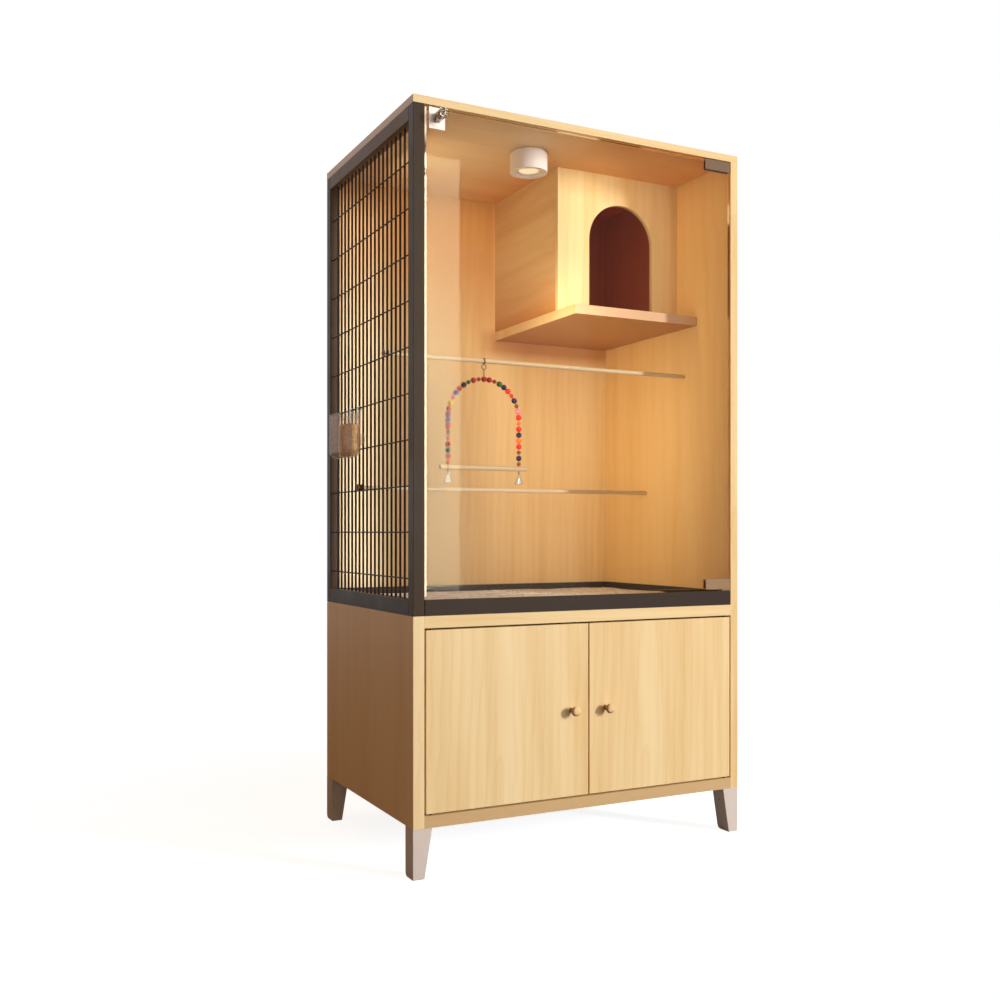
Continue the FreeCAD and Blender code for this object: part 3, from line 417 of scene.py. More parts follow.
def painted_metal(name, colour, worn, gloss):
    """Powder-coated metal: a fine orange peel, cloudy gloss and faint rubbed spots."""
    paint = Paint(name)
    peel = paint.noise(paint.coordinates["Object"], 900, 2, 0.6)
    clouds = paint.noise(paint.coordinates["Object"], 9, 4, 0.6)
    base = paint.mix(paint.span(clouds, 0.4, 0.72, 0.0, 0.45), srgb(colour), srgb(worn))
    shader = paint.principled(
        Base_Color=base,
        Roughness=paint.span(clouds, 0.3, 0.7, gloss - 0.07, gloss + 0.08),
        Specular_IOR_Level=0.25,
        Normal=paint.bump(peel, 0.16, 0.0002),
    )
    return paint.surface(shader)


# Scales that draw brush lines out along an axis.
ALONG_X = (0.02, 1, 1)
ALONG_Z = (1, 1, 0.02)


def bare_metal(name, colour, gloss, brushed, along=ALONG_Z, metallic=1.0, faces=()):
    """Brushed or polished metal with a smudged gloss."""
    paint = Paint(name)
    lines = paint.noise(paint.placed(along), 900, 2, 0.6)
    smudges = paint.noise(paint.coordinates["Object"], 40, 3, 0.6)
    base = paint.mix(paint.span(smudges, 0.35, 0.75, 0.0, 0.25), srgb(colour), srgb(SMUDGE))
    shader = paint.principled(
        Base_Color=painted_by_facing(paint, base, faces),
        Metallic=metallic,
        Roughness=paint.span(smudges, 0.3, 0.7, gloss, gloss + 0.12),
        Normal=paint.bump(lines, brushed, 0.0001),
    )
    return paint.surface(shader)


def chrome_with_painted_reflections():
    """Dark chrome with painted reflections: bright and dark blotches in its colour."""
    paint = Paint("lock_chrome")
    reflection_patches = paint.noise(paint.coordinates["Object"], 230, 3, 0.7)
    shader = paint.principled(
        Base_Color=paint.ramp(reflection_patches, ((0.4, "#2E211C"), (0.52, "#7A665A"), (0.62, "#E8DAD0"))),
        Metallic=0.9,
        Roughness=paint.span(reflection_patches, 0.3, 0.7, 0.16, 0.3),
        Normal=paint.bump(reflection_patches, 0.3, 0.0006),
    )
    return paint.surface(shader)


def gloss_paint(name, colour):
    """Lacquered wooden bead paint, a little uneven."""
    paint = Paint(name)
    wear = paint.noise(paint.coordinates["Object"], 260, 3, 0.6)
    deep = [channel * 0.62 for channel in srgb(colour)[:3]]
    base = paint.mix(paint.span(wear, 0.45, 0.75, 0.0, 0.55), srgb(colour), (*deep, 1.0))
    shader = paint.principled(
        Base_Color=base,
        Roughness=paint.span(wear, 0.3, 0.7, 0.24, 0.4),
        Specular_IOR_Level=0.3,
        Normal=paint.bump(wear, 0.08, 0.0002),
    )
    return paint.surface(shader)


def painted_edge_reflections(paint, place, low, high):
    """Painted reflections on the cut edges: pale and dark stretches, cream with dark blotches on the
    left.
    """
    wander = paint.noise(paint.coordinates["Object"], 6, 2, 0.5)
    plain = paint.ramp(wander, ((0.35, "#B07C48"), (0.65, "#C8965C")))
    top = plain
    for start, end, code in TOP_EDGE:
        top = paint.mix(band(paint, place["X"], start, end), top, srgb(code))
    right = plain
    for start, end, code in RIGHT_EDGE:
        right = paint.mix(band(paint, place["Z"], start, end), right, srgb(code))
    blotches = paint.noise(paint.placed((1, 1, 0.6)), 60, 3, 0.7)
    spotted = paint.ramp(blotches, ((0.44, "#5A4630"), (0.5, "#D8C09A"), (0.56, "#FFF6E2")))
    high_up = band(paint, place["Z"], *BLOTCHES, 0.02)
    left = paint.mix(high_up, srgb("#F8E6C2"), spotted)
    upright = paint.mix(paint.maths("LESS_THAN", place["X"], (low.x + high.x) / 2), right, left)
    return paint.mix(paint.maths("GREATER_THAN", place["Z"], high.z - TOP_EDGE_DEPTH), upright, top)


def door_glass():
    """Clear glass whose faces reflect and whose cut edges carry painted reflections and a painted
    glow.
    """
    paint = Paint("door_glass")
    front = paint.maths("ABSOLUTE", paint.axes("Normal")["Y"])
    place = paint.axes("Object")
    low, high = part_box("glass_panel")
    bevel = paint.maths("LESS_THAN", place["X"], low.x + GLASS_BEVEL)
    edge = paint.maths("MAXIMUM", paint.maths("LESS_THAN", front, 0.5), bevel)
    edge_reflections = painted_edge_reflections(paint, place, low, high)
    smear = paint.noise(paint.placed((1, 1, 0.3)), 5, 3, 0.5)
    outer = paint.maths("SUBTRACT", 1.0, paint.add("NewGeometry").outputs["Backfacing"])
    gleam = paint.maths("MULTIPLY", outer, paint.add("Fresnel", {"IOR": GLASS_GLEAM_IOR}).outputs[0])
    cover = paint.mix(edge, gleam, (0.9, 0.9, 0.9, 1.0))
    body = paint.principled(
        Base_Color=paint.mix(edge, WHITE, edge_reflections),
        Metallic=paint.maths("SUBTRACT", 1.0, edge),
        Roughness=paint.span(smear, 0.3, 0.7, 0.01, 0.05),
        # The cut edges glow a little: a painted glow.
        Emission_Color=edge_reflections,
        Emission_Strength=paint.maths("MULTIPLY", edge, GLASS_EDGE_PAINTED_GLOW),
    )
    clear = paint.add("BsdfTransparent", {"Color": (0.985, 0.985, 0.975, 1.0)}).outputs[0]
    return paint.surface(paint.add("MixShader", {0: cover, 1: clear, 2: body}).outputs[0])


def clear_plastic():
    """Clear moulded plastic with pale rims."""
    paint = Paint("feeder_plastic")
    rim = paint.add("LayerWeight", {"Blend": 0.35}).outputs["Facing"]
    haze = paint.noise(paint.coordinates["Object"], 120, 3, 0.6)
    milky = paint.span(haze, 0.4, 0.7, 0.0, 0.05)
    cover = paint.maths("ADD", paint.span(rim, 0.4, 1.0, 0.06, 0.7), milky)
    body = paint.principled(
        Base_Color=srgb("#EFE3DA"),
        Roughness=paint.span(haze, 0.3, 0.7, 0.06, 0.16),
        Normal=paint.bump(haze, 0.05, 0.0004),
    )
    clear = paint.add("BsdfTransparent", {"Color": (0.97, 0.95, 0.93, 1.0)}).outputs[0]
    return paint.surface(paint.add("MixShader", {0: cover, 1: clear, 2: body}).outputs[0])


def lamp_lens():
    """A frosted lens with an even glow."""
    paint = Paint("lamp_lens_glow")
    frost = paint.noise(paint.coordinates["Object"], 500, 2, 0.5)
    shader = paint.principled(
        Base_Color=srgb("#FFF3D6"),
        Roughness=paint.span(frost, 0.3, 0.7, 0.35, 0.5),
        Emission_Color=srgb("#FFF2C8"),
        Emission_Strength=LENS_GLOW,
        Normal=paint.bump(frost, 0.2, 0.0003),
    )
    return paint.surface(shader)


def plain_matt(name, colours, scale, bump, gloss, pale=None):
    """A matt, grainy surface between three colours. It can carry painted light: paler where Y is low.
    """
    paint = Paint(name)
    grain = paint.noise(paint.coordinates["Object"], scale, 4, 0.65)
    clouds = paint.noise(paint.coordinates["Object"], scale / 12, 3, 0.6)
    blended = paint.maths("MULTIPLY", paint.maths("ADD", grain, clouds), 0.5)
    base = paint.ramp(blended, ((0.36, colours[0]), (0.5, colours[1]), (0.64, colours[2])))
    if pale:
        start, end, code = pale
        near = paint.span(paint.axes("Object")["Y"], start, end, 0.85, 0.0)
        base = paint.mix(near, base, srgb(code))
    shader = paint.principled(
        Base_Color=base,
        Roughness=paint.span(grain, 0.3, 0.7, gloss - 0.08, gloss + 0.1),
        Normal=paint.bump(grain, bump, 0.001),
    )
    return paint.surface(shader)


# Each board's grain: its axis, a seed, and the heart line's place beside that axis.
BOARDS = {
    "top_panel": ("x", 1, (0.1, 0.05)),
    "right_side_panel": ("z", 2, (-0.41, 0.1)),
    "back_panel": ("z", 3, (0.0, -0.27)),
    "cabinet_left_panel": ("z", 4, (0.36, 0.05)),
    "cabinet_top_board": ("x", 5, (0.0, 0.2)),
    "cabinet_bottom_board": ("x", 6, (0.3, 0.2)),
    "nest_front_panel": ("z", 7, (-0.3, 0.02)),
    "nest_side_panel": ("y", 8, (-0.05, 0.02)),
    "nest_floor_board": ("x", 9, (0.1, 0.02)),
    "left_door": ("z", 10, (0.2, 0.23)),
    "right_door": ("z", 11, (-0.17, 0.23)),
}
PERCH_GRAIN = ("x", 21, (0.1, 0.1))
KNOB_GRAIN = ("y", 31, (0.1, 0.1))

# Painted light and shade on faces that look one way: cut ends, edges and undersides.
FACE_LIGHT_AND_SHADE = {
    "top_panel": (("X", -1, 1.0, "#FFF8F0"), ("Z", -1, 0.35, "#FFE0C0")),
    "right_side_panel": (("X", -1, 0.5, "#F4CC82"),),
    "cabinet_left_panel": (("X", -1, 0.6, "#E7B97F"),),
    "cabinet_bottom_board": (("Y", -1, 0.75, "#C5A272"),),
    "nest_floor_board": (("Z", -1, 0.85, "#AE6C2E"), ("Y", -1, 0.9, "#DAAE8A")),
}

# The nest's inside along each axis, on past the walls, and how soft its ends are.
NEST_X = ("X", 0.09, 0.45, 0.006)
NEST_Y = ("Y", -0.03, 0.3, 0.006)
NEST_Z = ("Z", 1.24, 1.6, 0.006)

# Painted shade on inner faces: darker in the nest, under it and towards a corner. Each has the
# way its face looks, its spans along the axes with their softness, and a colour.
PAINTED_SHADES = {
    "back_panel": (
        ("Y", -1, (NEST_X, NEST_Z), NEST_PAINTED_SHADE),
        ("Y", -1, (("X", 0.04, 0.45, 0.03), ("Z", 1.18, 1.24, 0.015)), "#DAB69C"),
        ("Y", -1, (("X", -0.5, 0.07, 0.01), ("Z", 1.3, 1.7, 0.12)), "#E9CFB4"),
    ),
    "right_side_panel": (("X", -1, (NEST_Y, NEST_Z), NEST_PAINTED_SHADE),),
    "top_panel": (
        ("Z", -1, (NEST_X, NEST_Y), NEST_PAINTED_SHADE),
        ("Z", -1, (("X", 0.0, 0.5, 0.08),), "#FAD6AC"),
    ),
    "nest_side_panel": (("X", -1, (("Z", 1.1, 1.31, 0.07),), "#DAAA78"),),
}


def dress(names, material):
    """Gives CAD pieces a material."""
    for name in names:
        NODES[name].data.materials.clear()
        NODES[name].data.materials.append(material)


def soften(names, width, segments=2):
    """Rounds the sharp edges of CAD pieces slightly."""
    for name in names:
        weld = NODES[name].modifiers.new("weld", "WELD")
        weld.merge_threshold = WELD_DISTANCE
        bevel = NODES[name].modifiers.new("bevel", "BEVEL")
        bevel.width = width
        bevel.segments = segments
        bevel.limit_method = "ANGLE"
        bevel.angle_limit = SHARP_ANGLE


def dress_wood():
    """Boards, perches and the swing's bar."""
    for name, grain in BOARDS.items():
        painted_tones = FACE_LIGHT_AND_SHADE.get(name, ())
        shades = PAINTED_SHADES.get(name, ())
        dress([name], wood("wood_" + name, grain, faces=painted_tones, shades=shades))
    soften(BOARDS, BOARD_ROUND)
    perches = ["upper_perch", "lower_perch", "swing_bar"]
    dress(perches, wood("wood_perch", PERCH_GRAIN, PERCH_WOOD))


def dress_painted():
    """Grille, tray, feet and lamp."""
    posts = ["grille_front_post", "grille_back_post", "grille_bottom_rail"]
    dress(posts, painted_metal("frame_paint", "#3C2E23", "#48382A", 0.5))
    # The top rail is a paler copy of the frame paint: painted light.
    dress(["grille_top_rail"], painted_metal("rail_lit_paint", "#6E5848", "#7C6654", 0.5))
    soften(posts + ["grille_top_rail"], FRAME_ROUND, 3)
    wires = ["grille_upright_wires", "grille_cross_wires"]
    dress(wires, painted_metal("wire_paint", "#22110A", "#2E1A10", 0.6))
    bolts = ["perch_bolts", "perch_washers"]
    # The bolts and washers are paler than the wires: painted light on parts in shade.
    dress(bolts, painted_metal("bolt_lit_paint", "#8E6A48", "#A07C58", 0.5))
    dress(["litter_tray"], painted_metal("tray_paint", "#352A22", "#403228", 0.5))
    soften(["litter_tray"], TRAY_ROUND)
    feet = ["front_left_foot", "front_right_foot", "back_left_foot", "back_right_foot"]
    dress(feet, painted_metal("foot_paint", "#DCD0C4", "#CABCAE", 0.36))
    soften(feet, FOOT_ROUND)
    dress(["lamp_base", "lamp_housing"], painted_metal("lamp_paint", "#FFF6EC", "#F2E4D4", 0.4))
    dress(["lamp_lens"], lamp_lens())


def dress_glass_door():
    """Pane, clamps, pivots and lock."""
    dress(["glass_panel"], door_glass())
    # The upper clamp is a darker copy of the lower clamp's metal, with its left end paler and its
    # underside darker: painted light and shade.
    ends = (("X", -1, 0.9, "#E0BE9A"), ("Z", -1, 0.8, "#9A8480"))
    upper = ["upper_glass_clamp"]
    dress(upper, bare_metal("upper_clamp_painted_shade_metal", "#7A5F47", 0.34, 0.3, ALONG_X, 0.2, ends))
    lower = ["lower_glass_clamp", "lower_pivot_bracket"]
    dress(lower, bare_metal("lower_clamp_metal", "#9E7C5A", 0.34, 0.3, ALONG_X, 0.3))
    soften(lower + upper, FITTING_ROUND)
    chrome = ["lock_back_nut", "lock_cam", "lock_keeper"]
    dress(chrome, bare_metal("chrome", "#DCD8D4", 0.1, 0.04))
    dress(["lock_front_plate"], bare_metal("plate_metal", "#FFF4EC", 0.3, 0.1, ALONG_X, 0.3))
    # Dark and bright blotches in the lock's chrome are painted reflections.
    dress(["lock_barrel", "lock_plug"], chrome_with_painted_reflections())
    soften(["lock_front_plate", "lock_cam", "lock_keeper"], FITTING_ROUND)


def dress_fittings():
    """Pins, strikes, catches, swing, bells and feeder."""
    steel = [
        "upper_pivot_bush", "glass_pivot_pins", "foot_studs", "left_door_strike",
        "right_door_strike", "feeder_hooks",
    ]
    dress(steel, bare_metal("steel", "#A9A097", 0.28, 0.1))
    # The door pins are painted dark: painted shade in the door gaps.
    dress(["left_door_pins", "right_door_pins"], bare_metal("pin_painted_shade", "#4A3220", 0.4, 0.1))
    catch = ("#3B2A1C", "#4A3524", "#5A4230")
    dress(["magnetic_catches"], plain_matt("catch_plastic", catch, 300, 0.1, 0.5))
    dress(["swing_hook", "swing_wire"], bare_metal("swing_steel", "#8E745A", 0.28, 0.1))
    bells = ["left_bell", "right_bell", "left_clapper", "right_clapper"]
    dress(bells, bare_metal("bell_metal", "#E4DACB", 0.14, 0.04))
    dress(["feeder_cup"], clear_plastic())


# Modelled pieces


def mesh_piece(name, mesh, body, materials, replaced=()):
    """A mesh as a piece that rides on a body."""
    data = bpy.data.meshes.new(name)
    mesh.to_mesh(data)
    mesh.free()
    piece = bpy.data.objects.new(name, data)
    bpy.context.scene.collection.objects.link(piece)
    for material in materials:
        data.materials.append(material)
    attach(piece, body)
    if replaced:
        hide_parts(*replaced)


def lathe(mesh, profile, matrix, sides, material=0):
    """Turns (height, radius) points about the matrix's Z axis. A zero radius closes the end."""
    rings = []
    for height, radius in profile:
        if radius == 0:
            rings.append([mesh.verts.new(matrix @ Vector((0, 0, height)))])
            continue
        rings.append([
            mesh.verts.new(matrix @ Vector((
                radius * math.cos(math.tau * side / sides),
                radius * math.sin(math.tau * side / sides),
                height,
            )))
            for side in range(sides)
        ])
    for low, high in zip(rings, rings[1:]):
        for side in range(sides):
            following = (side + 1) % sides
            corners = [low[side % len(low)], low[following % len(low)]]
            corners += [high[following % len(high)], high[side % len(high)]]
            corners = list(dict.fromkeys(corners))
            if len(corners) > 2:
                face = mesh.faces.new(corners)
                face.smooth = True
                face.material_index = material


# Turns that bring a lathe's axis to face the front or the left.
FACE_FRONT = Matrix.Rotation(math.radians(90), 4, "X")
FACE_LEFT = Matrix.Rotation(math.radians(-90), 4, "Y")


def middle_of(name):
    """The middle of a CAD piece's box."""
    low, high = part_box(name)
    return (low + high) / 2


def make_knobs():
    """Turned knobs: a short neck on the door under a rounded head."""
    # Painted shade on the knobs' left and lower sides.
    painted_tones = (("X", -1, 0.75, KNOB_PAINTED_SHADE), ("Z", -1, 0.75, KNOB_PAINTED_SHADE))
    material = wood("wood_knob", KNOB_GRAIN, KNOB_WOOD, painted_tones, turned=(0.2, 0.6))
    for side in ("left", "right"):
        node = side + "_door_knob"
        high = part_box(node)[1]
        middle = middle_of(node)
        place = Matrix.Translation((middle.x, high.y, middle.z)) @ FACE_FRONT
        mesh = bmesh.new()
        lathe(mesh, KNOB_PROFILE, place, KNOB_SIDES)
        mesh_piece(side + "_knob", mesh, side + "_cupboard_door", [material], [node])


def bead_profile(radius):
    """A bored bead's outline, out over the ball and back through the bore, rims rounded."""
    half = math.sqrt(radius ** 2 - BEAD_BORE ** 2)
    points = []
    first = math.acos(half / radius) + BEAD_RIM_TURN
    for step in range(BEAD_STEPS + 1):
        angle = first + (math.pi - 2 * first) * step / BEAD_STEPS
        points.append((-radius * math.cos(angle), radius * math.sin(angle)))
    points.append((half - BEAD_RIM / 3, BEAD_BORE + BEAD_RIM / 2))
    points.append((half - BEAD_RIM, BEAD_BORE))
    points.append((BEAD_RIM - half, BEAD_BORE))
    points.append((BEAD_RIM / 3 - half, BEAD_BORE + BEAD_RIM / 2))
    points.append(points[0])
    return points


def make_beads():
    """The strung beads: one on top and a row down each side."""
    middle = middle_of("swing_wire")
    arch_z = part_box("swing_beads")[1].z - LARGE_BEAD - SWING_RADIUS
    names = list(BEAD_COLOURS)
    materials = [gloss_paint("bead_" + name, BEAD_COLOURS[name]) for name in names]
    mesh = bmesh.new()
    beads = [(0, 1, "red")]
    for side, sign in (("left", -1), ("right", 1)):
        for number, colour in enumerate(BEAD_ROWS[side].split(), start=1):
            beads.append((number * BEAD_PITCH, sign, colour))
    for along, sign, colour in beads:
        turn = min(along / SWING_RADIUS, math.pi / 2)
        drop = max(along - SWING_RADIUS * math.pi / 2, 0)
        x = middle.x + sign * math.sin(turn) * SWING_RADIUS
        z = arch_z + math.cos(turn) * SWING_RADIUS - drop
        tilt = Matrix.Rotation((turn - math.pi / 2) * sign, 4, "Y")
        size = SMALL_BEAD if colour.endswith("*") else LARGE_BEAD
        place = Matrix.Translation((x, middle.y, z)) @ tilt
        lathe(mesh, bead_profile(size), place, BEAD_SIDES, names.index(colour.rstrip("*")))
    mesh_piece("bead_string", mesh, "swing", materials, ["swing_beads"])


def swell(x, y):
    """The bedding's slow rise and fall."""
    return noise.noise(Vector((x * SWELL_SCALE, y * SWELL_SCALE, 3))) * SWELL_HEIGHT


def make_litter():
    """Loose bedding in the tray: an uneven surface with flat flakes on it."""
    low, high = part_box("tray_liner")
    mesh = bmesh.new()
    grid = []
    for row in range(LITTER_ROWS + 1):
        line = []
        for column in range(LITTER_COLUMNS + 1):
            x = low.x + (high.x - low.x) * column / LITTER_COLUMNS
            y = low.y + (high.y - low.y) * row / LITTER_ROWS
            crumbs = noise.noise(Vector((x * CRUMB_SCALE, y * CRUMB_SCALE, 7))) * CRUMB_HEIGHT
            line.append(mesh.verts.new((x, y, high.z - LITTER_DROP + swell(x, y) + crumbs)))
        grid.append(line)
    for near, far in zip(grid, grid[1:]):
        for column in range(LITTER_COLUMNS):
            corners = (near[column], near[column + 1], far[column + 1], far[column])
            mesh.faces.new(corners).smooth = True
    close_below(mesh, grid, low.z)
    add_flakes(mesh, low, high)
    # The bedding near the tray's front is painted paler: painted light.
    start, end, code = LITTER_PAINTED_LIGHT
    pale = (low.y + start, low.y + end, code)
    material = plain_matt("litter", ("#C8BEB0", "#DEDAD2", "#ECEEEC"), 420, 0.5, 0.85, pale)
    mesh_piece("litter_bed", mesh, "tray", [material], ["tray_liner"])


def close_below(mesh, grid, floor):
    """Closes a height grid down to a flat floor."""
    border = list(grid[0])
    border += [line[-1] for line in grid[1:]]
    border += list(reversed(grid[-1][:-1]))
    border += [line[0] for line in reversed(grid[1:-1])]
    under = [mesh.verts.new((vert.co.x, vert.co.y, floor)) for vert in border]
    count = len(border)
    for number in range(count):
        following = (number + 1) % count
        mesh.faces.new((border[following], border[number], under[number], under[following]))
    mesh.faces.new(list(reversed(under)))


def spread(number, salt):
    """A fixed, scattered number between 0 and 1 for a loose piece."""
    return (math.sin(number * 12.9898 + salt * 78.233) * 43758.5453) % 1.0


def between(low, high, margin, share):
    """A share of the way between two ends, with a margin off both."""
    return low + margin + (high - low - 2 * margin) * share


def grown(least, more, number, salt):
    """A size for a loose piece: the least, and a scattered share of what may come on top."""
    return least + more * spread(number, salt)


def add_flakes(mesh, low, high):
    """Small flat flakes lying on the bedding."""
    for number in range(FLAKE_COUNT):
        x = between(low.x, high.x, FLAKE_MARGIN, spread(number, 1))
        y = between(low.y, high.y, FLAKE_MARGIN, spread(number, 2.3))
        turn = Matrix.Rotation(math.tau * spread(number, 3.7), 4, "Z")
        lean = Matrix.Rotation(FLAKE_LEAN * (spread(number, 5.1) - 0.5), 4, "X")
        place = Matrix.Translation((x, y, high.z - FLAKE_DROP + swell(x, y))) @ turn @ lean
        long = grown(*FLAKE_LENGTH, number, 7.9)
        wide = grown(*FLAKE_WIDTH, number, 9.2)
        add_flake(mesh, place, long, wide)


def add_flake(mesh, place, long, wide):
    """One flat flake, a little narrower on one side."""
    short = long * FLAKE_TAPER
    half = FLAKE_THICKNESS / 2
    corners = ((-long, -wide), (long, -wide), (short, wide), (-short, wide))
    top = [mesh.verts.new(place @ Vector((u, v, half))) for u, v in corners]
    bottom = [mesh.verts.new(place @ Vector((u, v, -half))) for u, v in corners]
    mesh.faces.new(top)
    mesh.faces.new(list(reversed(bottom)))
    for side in range(4):
        following = (side + 1) % 4
        mesh.faces.new((top[side], bottom[side], bottom[following], top[following]))


def make_seeds():
    """Seed in the feeder: a solid heap with single seeds on and around it."""
    low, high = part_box("feeder_cup")
    floor = low.z + CUP_WALL
    level = low.z + HEAP_HEIGHT
    west = low.x + CUP_WALL + HEAP_OFF_OUTSIDE
    east = high.x - CUP_WALL - HEAP_OFF_INSIDE
    south = low.y + CUP_EAR + CUP_WALL
    north = high.y - CUP_EAR - CUP_WALL - HEAP_OFF_BACK
    mesh = bmesh.new()
    add_heap(mesh, (west, east, south, north), floor, level)
    for number in range(TOP_SEEDS):
        x = between(west, east, TOP_SEED_MARGIN, spread(number, 0.4))
        y = between(south, north, TOP_SEED_MARGIN, spread(number, 1.9))
        add_seed(mesh, number, Vector((x, y, level + TOP_SEED_LIFT)))
    # The heap's four sides: the place that is fixed, and the other one's salt.
    sides = (
        (west + SIDE_SEED_DEPTH, None, 2.2), (east - SIDE_SEED_DEPTH, None, 2.7),
        (None, south + SIDE_SEED_DEPTH, 3.3), (None, north - SIDE_SEED_DEPTH, 3.9),
    )
    for number in range(SIDE_SEEDS):
        x, y, salt = sides[number % 4]
        if x is None:
            x = between(west, east, SIDE_SEED_ALONG_X, spread(number, salt))
        else:
            y = between(south, north, SIDE_SEED_ALONG_Y, spread(number, salt))
        z = floor + SIDE_SEED_FOOT + (level - floor - SIDE_SEED_ROOM) * spread(number, 6.1)
        add_seed(mesh, SIDE_SEED_START + number, Vector((x, y, z)))
    material = plain_matt("seed", ("#A8763A", "#E4BA76", "#FFEBBC"), 330, 0.4, 0.6)
    mesh_piece("feeder_seed", mesh, "feeder", [material])


def add_heap(mesh, sides, floor, level):
    """The heap's body, rounded at its foot and its upright corners."""
    rings = []
    for step in range(HEAP_LEVELS + 1):
        share = step / HEAP_LEVELS
        z = floor + (level - floor) * share
        depth_in = max(HEAP_CORNER - (z - floor), 0)
        shrink = HEAP_CORNER - math.sqrt(max(HEAP_CORNER ** 2 - depth_in ** 2, 0))
        rings.append(rounded_ring(mesh, *sides, HEAP_CORNER, shrink + HEAP_INSET, z))
    for below, above in zip(rings, rings[1:]):
        for side in range(len(below)):
            following = (side + 1) % len(below)
            face = mesh.faces.new((below[side], below[following], above[following], above[side]))
            face.smooth = True
    mesh.faces.new(list(reversed(rings[0])))
    mesh.faces.new(rings[-1])


def rounded_ring(mesh, west, east, south, north, corner, inset, z):
    """A ring of points round an upright box with round corners, drawn in by an inset."""
    centres = (
        (east - corner, north - corner, 0.0), (west + corner, north - corner, 0.25),
        (west + corner, south + corner, 0.5), (east - corner, south + corner, 0.75),
    )
    reach = max(corner - inset, LEAST_CORNER)
    ring = []
    for x, y, start in centres:
        for step in range(CORNER_STEPS + 1):
            angle = math.tau * (start + 0.25 * step / CORNER_STEPS)
            ring.append(mesh.verts.new((x + reach * math.cos(angle), y + reach * math.sin(angle), z)))
    return ring


def add_seed(mesh, number, spot):
    """One small seed, longer than it is wide, turned its own way."""
    turn = Matrix.Rotation(math.tau * spread(number, 11.3), 4, "Z")
    lean = Matrix.Rotation(math.pi * spread(number, 13.7), 4, "Y")
    size = grown(*SEED_RADIUS, number, 17.1)
    shape = Matrix.Diagonal((size, size, size * SEED_STRETCH, 1))
    place = Matrix.Translation(spot) @ turn @ lean @ shape
    made = bmesh.ops.create_icosphere(mesh, subdivisions=1, radius=1)
    bmesh.ops.transform(mesh, matrix=place, verts=made["verts"])
    for vert in made["verts"]:
        for face in vert.link_faces:
            face.smooth = True


def screw_profile(radius):
    """A flat screw head with a rounded rim and a shallow recess."""
    return (
        (-0.0004, radius), (0.0002, radius), (0.0005, radius * 0.9), (0.0006, radius * 0.55),
        (0.0002, radius * 0.42), (-0.0002, radius * 0.3), (-0.0002, 0.0),
    )


def make_screws():
    """Screw heads on the glass door's clamps and on the pivot bracket."""
    material = bare_metal("screw_metal", "#C9BBAA", 0.2, 0.05)
    for node in ("upper_glass_clamp", "lower_glass_clamp"):
        low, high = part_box(node)
        mesh = bmesh.new()
        for share in CLAMP_SCREW_SHARES:
            x = low.x + (high.x - low.x) * share
            spot = (x, low.y + CLAMP_SCREW_SINK, (low.z + high.z) / 2)
            place = Matrix.Translation(spot) @ FACE_FRONT
            lathe(mesh, screw_profile(CLAMP_SCREW_RADIUS), place, SCREW_SIDES)
        mesh_piece(node + "_screws", mesh, "glass_door", [material])
    low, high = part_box("lower_pivot_bracket")
    from_front, from_back = BRACKET_SCREW_ENDS
    z = (low.z + high.z) / 2 + BRACKET_SCREW_RISE
    mesh = bmesh.new()
    for y in (low.y + from_front, high.y - from_back):
        place = Matrix.Translation((high.x - BRACKET_SCREW_SINK, y, z)) @ FACE_LEFT
        lathe(mesh, screw_profile(BRACKET_SCREW_RADIUS), place, SCREW_SIDES)
    mesh_piece("bracket_screws", mesh, "cage", [material])


# Camera, light and floor


def make_camera():
    """A level camera at the photograph's place, with a small upward shift."""
    camera = bpy.data.objects.new("camera", bpy.data.cameras.new("camera"))
    bpy.context.scene.collection.objects.link(camera)
    camera.location = CAMERA_PLACE
    camera.rotation_euler = CAMERA_TURN
    camera.data.lens = CAMERA_LENS
    camera.data.sensor_width = CAMERA_SENSOR
    camera.data.shift_y = CAMERA_SHIFT
    camera.data.clip_end = CAMERA_REACH
    bpy.context.scene.camera = camera


def make_room():
    """A white surround for the eye and for reflections, and a dim warm one for soft light."""
    world = bpy.data.worlds.new("room")
    bpy.context.scene.world = world
    room = Nodes(world)
    path = room.add("LightPath").outputs
    seen = room.maths("MAXIMUM", path["Is Camera Ray"], path["Is Glossy Ray"])
    through = room.maths("MAXIMUM", seen, path["Is Transmission Ray"])
    background = room.add("Background", {"Color": room.mix(through, ROOM_COLOUR, WHITE)})
    room.add("OutputWorld", {"Surface": background.outputs[0]})
    bpy.context.scene.view_settings.view_transform = "Standard"


def add_light(name, kind, power, colour, place, turn=(0, 0, 0)):
    """A light in the scene, which the camera doesn't see."""
    light = bpy.data.lights.new(name, kind)
    light.energy = power
    light.color = colour
    made = bpy.data.objects.new(name, light)
    made.location = place
    made.rotation_euler = turn
    made.visible_camera = False
    bpy.context.scene.collection.objects.link(made)
    return made


def add_panel_light(name, power, colour, place, size, turn, mirrored=False):
    """A rectangular light. Glossy surfaces show it only if it is mirrored."""
    made = add_light(name, "AREA", power, colour, place, turn)
    made.data.shape = "RECTANGLE"
    made.data.size, made.data.size_y = size
    made.visible_glossy = mirrored
    return made


def keep_off(light, *names):
    """Keeps a light's rays off some CAD pieces."""
    unlit = bpy.data.collections.new(light.name + "_unlit")
    for name in names:
        unlit.objects.link(NODES[name])
    light.light_linking.receiver_collection = unlit
    for member in unlit.collection_objects:
        member.light_linking.link_state = "EXCLUDE"


def keep_to(light, *names):
    """Keeps a light's rays on some CAD pieces only."""
    lit = bpy.data.collections.new(light.name + "_lit")
    for name in names:
        lit.objects.link(NODES[name])
    light.light_linking.receiver_collection = lit


def turned_to(place, target):
    """The turn that points a light at a spot."""
    return (Vector(target) - Vector(place)).to_track_quat("-Z", "Y").to_euler()


